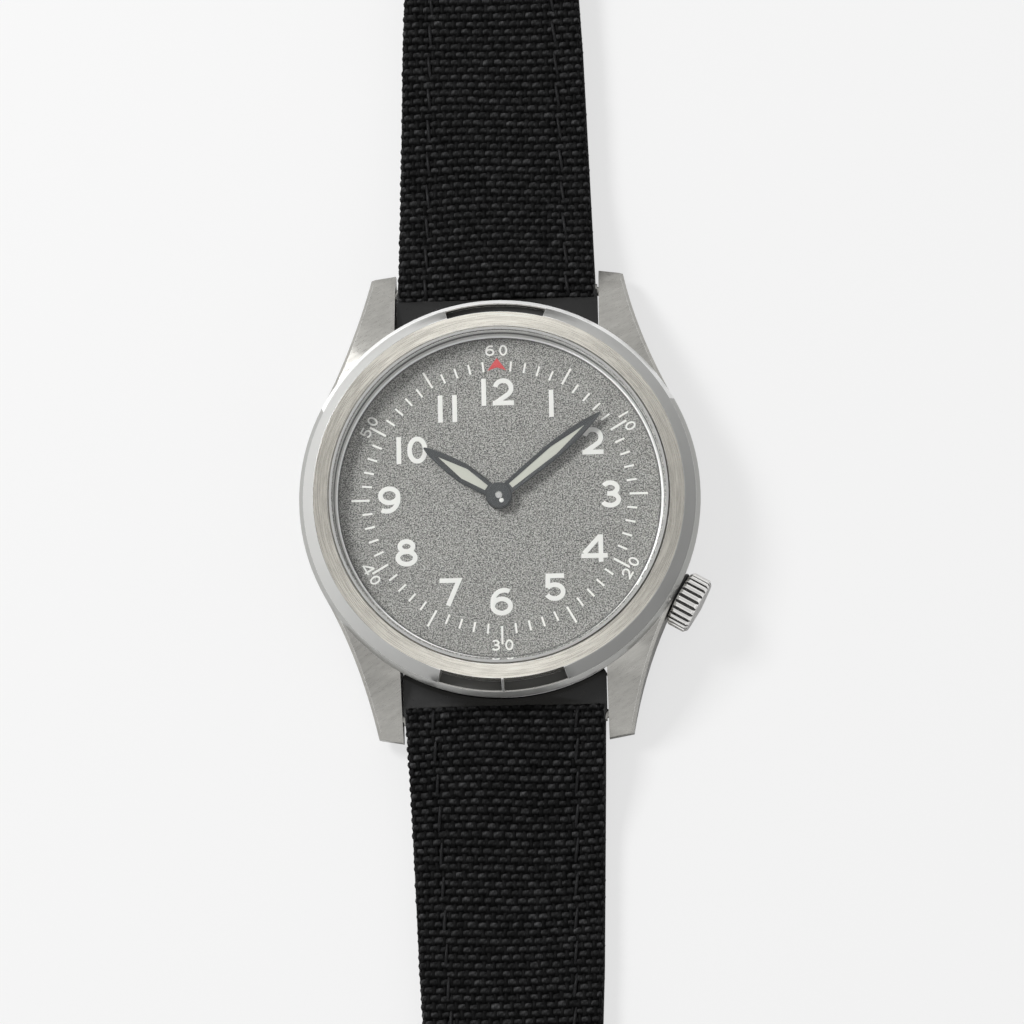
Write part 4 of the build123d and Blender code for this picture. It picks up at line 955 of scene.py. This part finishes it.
def makeStitches(name, half, place, start):
    outline = strapOutline(half)
    outline = outline[: len(outline) // 2 + (1 if half["point"] else 0)]
    run = np.concatenate(([0], np.cumsum(np.hypot(*np.diff(outline, axis=0).T))))
    first = np.interp(start, outline[:3, 1], run[:3]) + stitch["first"]
    last = run[-1] if half["point"] else np.interp(half["end"] - stitch["last"], outline[2:, 1], run[2:])
    sides, steps = stitch["sides"], stitch["steps"]
    t = np.linspace(-1, 1, steps)
    bow = np.cos(t * math.pi / 2)
    swell = stitch["endWidth"] + (1 - stitch["endWidth"]) * bow ** stitch["widthFall"]
    thick = (stitch["radius"] * swell)[:, None]
    angle = np.linspace(0, 2 * math.pi, sides, endpoint=False)[None]
    height = (stitch["sunk"] + stitch["rise"] * bow ** stitch["riseFall"])[:, None] + thick * np.sin(angle)
    ring = np.arange(sides)
    after = (ring + 1) % sides
    tube = np.concatenate([np.stack([ring, after, sides + after, sides + ring], 1) + step * sides
                           for step in range(steps - 1)])

    def onEdge(middle):
        return np.array([np.interp(middle, run, outline[:, 0]), np.interp(middle, run, outline[:, 1])])

    points, faces = [], []
    for middle in np.arange(first, last - stitch["pitch"] * stitch["leastPitch"], stitch["pitch"]):
        spot = onEdge(middle)
        ahead = onEdge(middle + stitch["ahead"]) - spot
        forward = ahead / np.hypot(*ahead)
        seat = spot + np.array([-forward[1], forward[0]]) * strapShape["seamInset"]
        for mirror in (np.array([1, 1.0]), np.array([-1, 1.0])):
            axis, centre = forward * mirror, seat * mirror
            across = np.array([-axis[1], axis[0]])
            shift = t[:, None] * stitch["long"] / 2 * axis + (t * stitch["lean"])[:, None] * across
            x, y = [(centre + shift)[:, column, None] + across[column] * thick * np.cos(angle)
                    for column in (0, 1)]
            faces.append(tube + len(points) * sides * steps)
            points.append(np.stack([x.ravel(), y.ravel(), height.ravel()], 1))
    points, faces = np.concatenate(points), np.concatenate(faces)
    keep = ~inSlot(half, points[:, 0], points[:, 1], 0)
    return strapPiece(name, place(*points.T), faces[keep[faces].all(1)], "stitchThread", half)


def makeStrapHalf(side):
    half = strapHalves[side]
    place, edgeDistance, start = strapPlacer(half)
    skin = makeClothSkin(side + "_cloth", half, place, edgeDistance, start)
    threads = makeWeave(side + "_weave", half, place, edgeDistance, start)
    makeStitches(side + "_stitches", half, place, start)
    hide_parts(side + "_canvas", side + "_filler")
    print(side, "strap half woven:", len(threads.data.polygons), "faces")


makeStrapHalf("upper")
makeStrapHalf("lower")


# Finished copies: the CAD's own forms with their edges eased

easing = {"merge": 0.002, "flat": 0.6, "sharp": 28, "edge": 35, "segments": 2}

# where the looks change, in millimetres from the dial's axis and above the case back: the bezel's flank, and
# the painted highlights and painted shade on the rim, the recesses, the wall's foot and the crown's grooves
finishZones = {
    "rim": (19.35, 19.92), "rimFloor": 6.45, "rimSplit": 9, "recess": (18.2, 19.4), "recessTop": 7.5,
    "bezelFace": 18.3, "wallFoot": 16.3, "crownGroove": 2.72,
}

crownTurn = math.radians(-30)
crownAxis = Vector((math.cos(crownTurn), math.sin(crownTurn), 0))
crownMiddle = (Vector(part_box("crown")[0]) + Vector(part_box("crown")[1])) / 2 / mm


def caseSlot(middle, normal):
    reach = math.hypot(middle.x, middle.y)
    low, high = finishZones["rim"]
    # painted highlight on the rim's upper half, plain steel on the rest
    if low < reach < high and middle.z > finishZones["rimFloor"] and normal.z > -0.1:
        return 4 if middle.y > finishZones["rimSplit"] else 5
    low, high = finishZones["recess"]
    # painted shade on the recess floors, near black at 12 and dark grey at 6
    if low < reach < high and middle.z < finishZones["recessTop"] and normal.z > 0.9:
        return 2 if middle.y > 0 else 3
    return 0


def bezelSlot(middle, normal):
    outside = math.hypot(middle.x, middle.y) > finishZones["bezelFace"]
    return 2 if outside and abs(normal.z) < 0.95 else 0


def ringSlot(middle, normal):
    inside = math.hypot(middle.x, middle.y) < finishZones["wallFoot"]
    # painted highlight: the flat top of the wall's foot
    return 1 if inside and normal.z > 0.95 else 0


def crownSlot(middle, normal):
    away = middle - crownMiddle
    sunk = (away - crownAxis * away.dot(crownAxis)).length < finishZones["crownGroove"]
    # painted shade: the faces deep in the crown's grooves
    return 2 if sunk and abs(normal.dot(crownAxis)) < 0.5 else 0


def plainSlot(middle, normal):
    return 0


# slot 0 of the looks is the body, slot 1 the eased edges, which on the case, bezel and wall ring carry a
# painted highlight, and choose names the faces that have another
easedPieces = {
    "bezel_finish": {"node": "bezel", "body": "case", "width": 0.09, "choose": bezelSlot, "slot": "steel",
                     "looks": ("bezelSteel", "bezelEdge", "flankSteel")},
    "case_finish": {"node": "mid_case", "body": "case", "width": 0.1, "choose": caseSlot, "slot": "steel",
                    "looks": ("lugSteel", "polishedEdge", "deepPocket", "shadedPocket", "rimBright",
                              "rimPlain")},
    "wall_ring": {"node": "inner_ring", "body": "case", "width": 0.03, "choose": ringSlot,
                  "slot": "polished_steel", "looks": ("ringSteel", "polishedEdge")},
    "crown_finish": {"node": "crown", "body": "crown_set", "width": 0.05, "choose": crownSlot,
                     "slot": "polished_steel", "looks": ("crownSteel", "crownSteel", "grooveSteel")},
}
leatherPieces = {
    "upper_leather": {"node": "upper_lining", "body": "upper_strap", "width": 0.16},
    "lower_leather": {"node": "lower_lining", "body": "lower_strap", "width": 0.16},
    "fixed_loop": {"node": "fixed_keeper", "body": "upper_strap", "width": 0.22},
    "free_loop": {"node": "free_keeper", "body": "keeper_slider", "width": 0.22},
}
for name, values in leatherPieces.items():
    common = {"choose": plainSlot, "slot": "lining", "looks": ("liningLeather", "liningLeather")}
    easedPieces[name] = values | common


def makeFinishedCopy(name, values):
    mesh = nodes[values["node"]].data.copy()
    mesh.name = name
    form = bmesh.new()
    form.from_mesh(mesh)
    bmesh.ops.remove_doubles(form, verts=form.verts, dist=easing["merge"] * mm)
    bmesh.ops.dissolve_limit(
        form, angle_limit=math.radians(easing["flat"]), verts=form.verts, edges=form.edges)
    form.to_mesh(mesh)
    form.free()
    mesh.materials.clear()
    piece = addPiece(name, mesh, values["looks"][0], values["body"])
    for look in values["looks"][1:]:
        mesh.materials.append(looks[look])
    for face in mesh.polygons:
        face.material_index = values["choose"](face.center / mm, face.normal)
    shadeByAngle(mesh, easing["sharp"])
    ease = piece.modifiers.new("easedEdges", "BEVEL")
    ease.width = values["width"] * mm
    ease.segments = easing["segments"]
    ease.limit_method = "ANGLE"
    ease.angle_limit = math.radians(easing["edge"])
    ease.harden_normals = True
    ease.material = 1
    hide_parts(values["node"])


for name, values in easedPieces.items():
    makeFinishedCopy(name, values)
print("edges eased")


# Spun pieces: the lip that closes the gap under the case's rim, and the black ring behind the crown, a rubber
# washer that also stands for the shade in the gap

def spinSection(name, section, angle, steps, start=0.0):
    # a closed outline of (reach, height) points, spun clockwise round Z from the start
    whole = angle == 360
    bpy.ops.mesh.primitive_circle_add(vertices=len(section), fill_type="NOTHING" if whole else "NGON")
    piece = bpy.context.object
    piece.name = name
    turn = math.radians(start)
    for vertex, (reach, height) in zip(piece.data.vertices, section):
        vertex.co = (reach * math.cos(turn) * mm, reach * math.sin(turn) * mm, height * mm)
    bpy.ops.object.mode_set(mode="EDIT")
    bpy.ops.mesh.select_all(action="SELECT")
    bpy.ops.mesh.spin(steps=steps, angle=math.radians(angle), center=(0, 0, 0), axis=(0, 0, 1))
    bpy.ops.mesh.select_all(action="SELECT")
    bpy.ops.mesh.remove_doubles(threshold=0.001 * mm)
    bpy.ops.mesh.normals_make_consistent(inside=False)
    bpy.ops.object.mode_set(mode="OBJECT")
    shadeByAngle(piece.data, 50)
    selectNone()
    return piece


strapLip = {
    "halfAngle": 30.2, "steps": 36,
    "section": ((20.3, 4.28), (19.78, 4.3), (19.66, 4.22), (19.6, 4.05), (19.52, 3.6), (20.3, 3.45)),
}


def makeStrapLip(side):
    half = strapHalves[side]
    start = 90 * half["sign"] + strapLip["halfAngle"]
    lip = spinSection(side + "_lip", strapLip["section"], 2 * strapLip["halfAngle"], strapLip["steps"], start)
    dressPiece(lip, "liningLeather", half["body"])


crownWasher = {
    "reach": 19.85, "steps": 48,
    "section": ((1.2, -0.2), (2.3, -0.2), (2.42, -0.1), (2.42, 0.12), (2.3, 0.22), (1.2, 0.22)),
}


# the washer's black also stands for the shade in the gap behind the crown
def makeCrownWasher():
    washer = spinSection("crown_washer", crownWasher["section"], 360, crownWasher["steps"])
    middle = crownAxis * crownWasher["reach"]
    middle.z = crownMiddle.z
    lean = crownAxis.to_track_quat("Z", "Y").to_matrix().to_4x4()
    washer.data.transform(Matrix.Translation(middle * mm) @ lean)
    dressPiece(washer, "blackRubber", "case")


makeStrapLip("upper")
makeStrapLip("lower")
makeCrownWasher()


# Hands: slate frames round the lume, and the dot on the hub

handFrames = {
    "minute_frame": {
        "hand": "minute_hand", "body": "minute_hand_set", "turn": 51.6,
        "outer": ((1.0, 0.62), (3.9, 0.76), (6.6, 0.85), (8.2, 0.8), (9.9, 0.66), (11.7, 0.4), (13.0, 0.07)),
        "window": ((1.5, 0.27), (7.0, 0.46), (10.75, 0.03))},
    "hour_frame": {
        "hand": "hour_hand", "body": "hour_hand_set", "turn": 304.3,
        "outer": ((1.0, 0.66), (3.1, 0.88), (4.3, 0.96), (5.8, 0.8), (7.2, 0.57), (8.3, 0.33), (8.9, 0.07)),
        "window": ((1.5, 0.27), (4.1, 0.55), (7.05, 0.03))},
}

frameShape = {
    "sink": 0.015, "thickness": 0.2, "ridge": 0.88, "edgeDrop": 0.07, "wallDrop": 0.02, "sillRise": 0.06,
}


def makeHandFrame(name, values):
    # a ring between the outline and the lume window, thick enough to cover the plain hand
    shape = frameShape
    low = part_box(values["hand"])[0][2] / mm - shape["sink"]
    high = low + shape["thickness"]
    rows = sorted({y for y, _ in values["outer"]} | {y for y, _ in values["window"]})
    outer = np.interp(rows, *zip(*values["outer"]))
    window = np.interp(rows, *zip(*values["window"]), left=0, right=0)
    form = bmesh.new()
    for side in (1, -1):
        strips = []
        # from the window's sill over the ridge and down to the foot
        for across, z in ((window, low + shape["sillRise"]), (window, high - shape["wallDrop"]),
                          (outer * shape["ridge"], high), (outer, high - shape["edgeDrop"]), (outer, low)):
            strips.append([form.verts.new((side * x * mm, y * mm, z * mm)) for x, y in zip(across, rows)])
        for first, second in zip(strips, strips[1:] + strips[:1]):
            for index in range(len(rows) - 1):
                form.faces.new((first[index], first[index + 1], second[index + 1], second[index]))
        for end in (0, -1):
            form.faces.new([strip[end] for strip in strips])
    bmesh.ops.remove_doubles(form, verts=form.verts, dist=0.001 * mm)
    bmesh.ops.dissolve_degenerate(form, edges=form.edges, dist=0.0005 * mm)
    bmesh.ops.recalc_face_normals(form, faces=form.faces)
    mesh = bpy.data.meshes.new(name)
    form.to_mesh(mesh)
    form.free()
    mesh.transform(Matrix.Rotation(-math.radians(values["turn"]), 4, "Z"))
    addPiece(name, mesh, "slateLacquer", values["body"])


hubDot = {"radius": 0.23, "place": (0.25, -0.53), "flatness": 0.35}


def makeHubDot():
    x, y = hubDot["place"]
    bpy.ops.mesh.primitive_uv_sphere_add(
        segments=20, ring_count=10, radius=hubDot["radius"] * mm,
        location=(x * mm, y * mm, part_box("minute_hand")[1][2]))
    dot = bpy.context.object
    dot.name = "hub_dot"
    dot.scale = (1, 1, hubDot["flatness"])
    bpy.ops.object.transform_apply(location=True, rotation=True, scale=True)
    bpy.ops.object.shade_smooth()
    dressPiece(dot, "numeralPaint", "minute_hand_set")
    selectNone()


for name, values in handFrames.items():
    makeHandFrame(name, values)
makeHubDot()
print("hands and strap ends made")


# Camera, lights, floor

view = {
    "distance": 0.5, "tilt": 9.23, "lean": 2.4, "roll": -1.594, "lens": 177.78,
    "sensor": 36, "height": 0.007, "aim": (0.001231, -0.001449), "clip": (0.01, 20),
}


def makeCamera():
    turn = Matrix.Identity(4)
    for angle, axis in ((view["tilt"], "X"), (view["lean"], "Y"), (view["roll"], "Z")):
        turn = turn @ Matrix.Rotation(math.radians(angle), 4, axis)
    place = Vector((0, 0, view["height"])) + turn.to_3x3() @ Vector((*view["aim"], view["distance"]))
    bpy.ops.object.camera_add(location=place, rotation=turn.to_euler())
    camera = bpy.context.object
    camera.data.lens = view["lens"]
    camera.data.sensor_width = view["sensor"]
    camera.data.clip_start, camera.data.clip_end = view["clip"]
    bpy.context.scene.camera = camera


lamps = {
    "keyLamp": {"place": (-0.36, 0.24, 0.46), "size": 0.18, "power": 3.0},
    "fillLamp": {"place": (0.4, -0.3, 0.5), "size": 0.5, "power": 0.35},
}


def makeLamps():
    for name, lamp in lamps.items():
        place = Vector(lamp["place"])
        turn = place.to_track_quat("Z", "Y").to_euler()
        bpy.ops.object.light_add(type="AREA", location=place, rotation=turn)
        light = bpy.context.object
        light.name = name
        light.data.size = lamp["size"]
        light.data.energy = lamp["power"]


# how bright the room is from the horizon (0) to overhead (1), for matt surfaces and for mirrors
roomLight = {
    "matt": ((0.0, 0.7), (0.35, 0.52), (0.85, 0.33)),
    "mirrored": ((0.0, 1.0), (0.45, 0.9), (0.85, 0.66)),
}


def makeWorld():
    world = bpy.data.worlds.new("softStudio")
    bpy.context.scene.world = world
    world.use_nodes = True
    tree = world.node_tree
    back = tree.nodes["Background"]
    split = addNode(tree, "ShaderNodeSeparateXYZ")
    tree.links.new(addNode(tree, "ShaderNodeTexCoord").outputs["Generated"], split.inputs[0])
    path = addNode(tree, "ShaderNodeLightPath")
    blend = addNode(tree, "ShaderNodeMix", data_type="RGBA")
    tree.links.new(path.outputs["Is Glossy Ray"], blend.inputs["Factor"])
    for socket, stops in (("A", roomLight["matt"]), ("B", roomLight["mirrored"])):
        ramp = addNode(tree, "ShaderNodeValToRGB")
        elements = ramp.color_ramp.elements
        elements.new(0.5)
        for element, (position, shade) in zip(elements, stops):
            element.position = position
            element.color = (shade, shade, shade, 1)
        tree.links.new(split.outputs["Z"], ramp.inputs[0])
        tree.links.new(ramp.outputs[0], blend.inputs[socket])
    tree.links.new(blend.outputs["Result"], back.inputs["Color"])
    setInputs(back, Strength=1.0)


floorLook = {"size": 4, "drop": 0.3, "color": 0.86, "glow": 0.93, "glowShare": 0.72}


def makeFloor():
    look = floorLook
    bpy.ops.mesh.primitive_plane_add(size=look["size"], location=(0, 0, -look["drop"] * mm))
    floor = bpy.context.object
    floor.name = "paleFloor"
    material, tree, shader = newTree("paleFloor")
    setInputs(shader, Base_Color=(look["color"], look["color"], look["color"], 1), Roughness=0.8)
    path = addNode(tree, "ShaderNodeLightPath").outputs
    glow = addNode(tree, "ShaderNodeEmission")
    setInputs(glow, Color=(look["glow"], look["glow"], look["glow"], 1), Strength=1.0)
    seen = mathNode(tree, "MAXIMUM", path["Is Camera Ray"], path["Is Transmission Ray"])
    mixShaders(tree, mathNode(tree, "MULTIPLY", seen, look["glowShare"]), shader.outputs[0], glow.outputs[0])
    floor.data.materials.append(material)


makeCamera()
makeLamps()
makeWorld()
makeFloor()
bpy.context.scene.view_settings.view_transform = "Standard"

selectNone()
print("scene done")
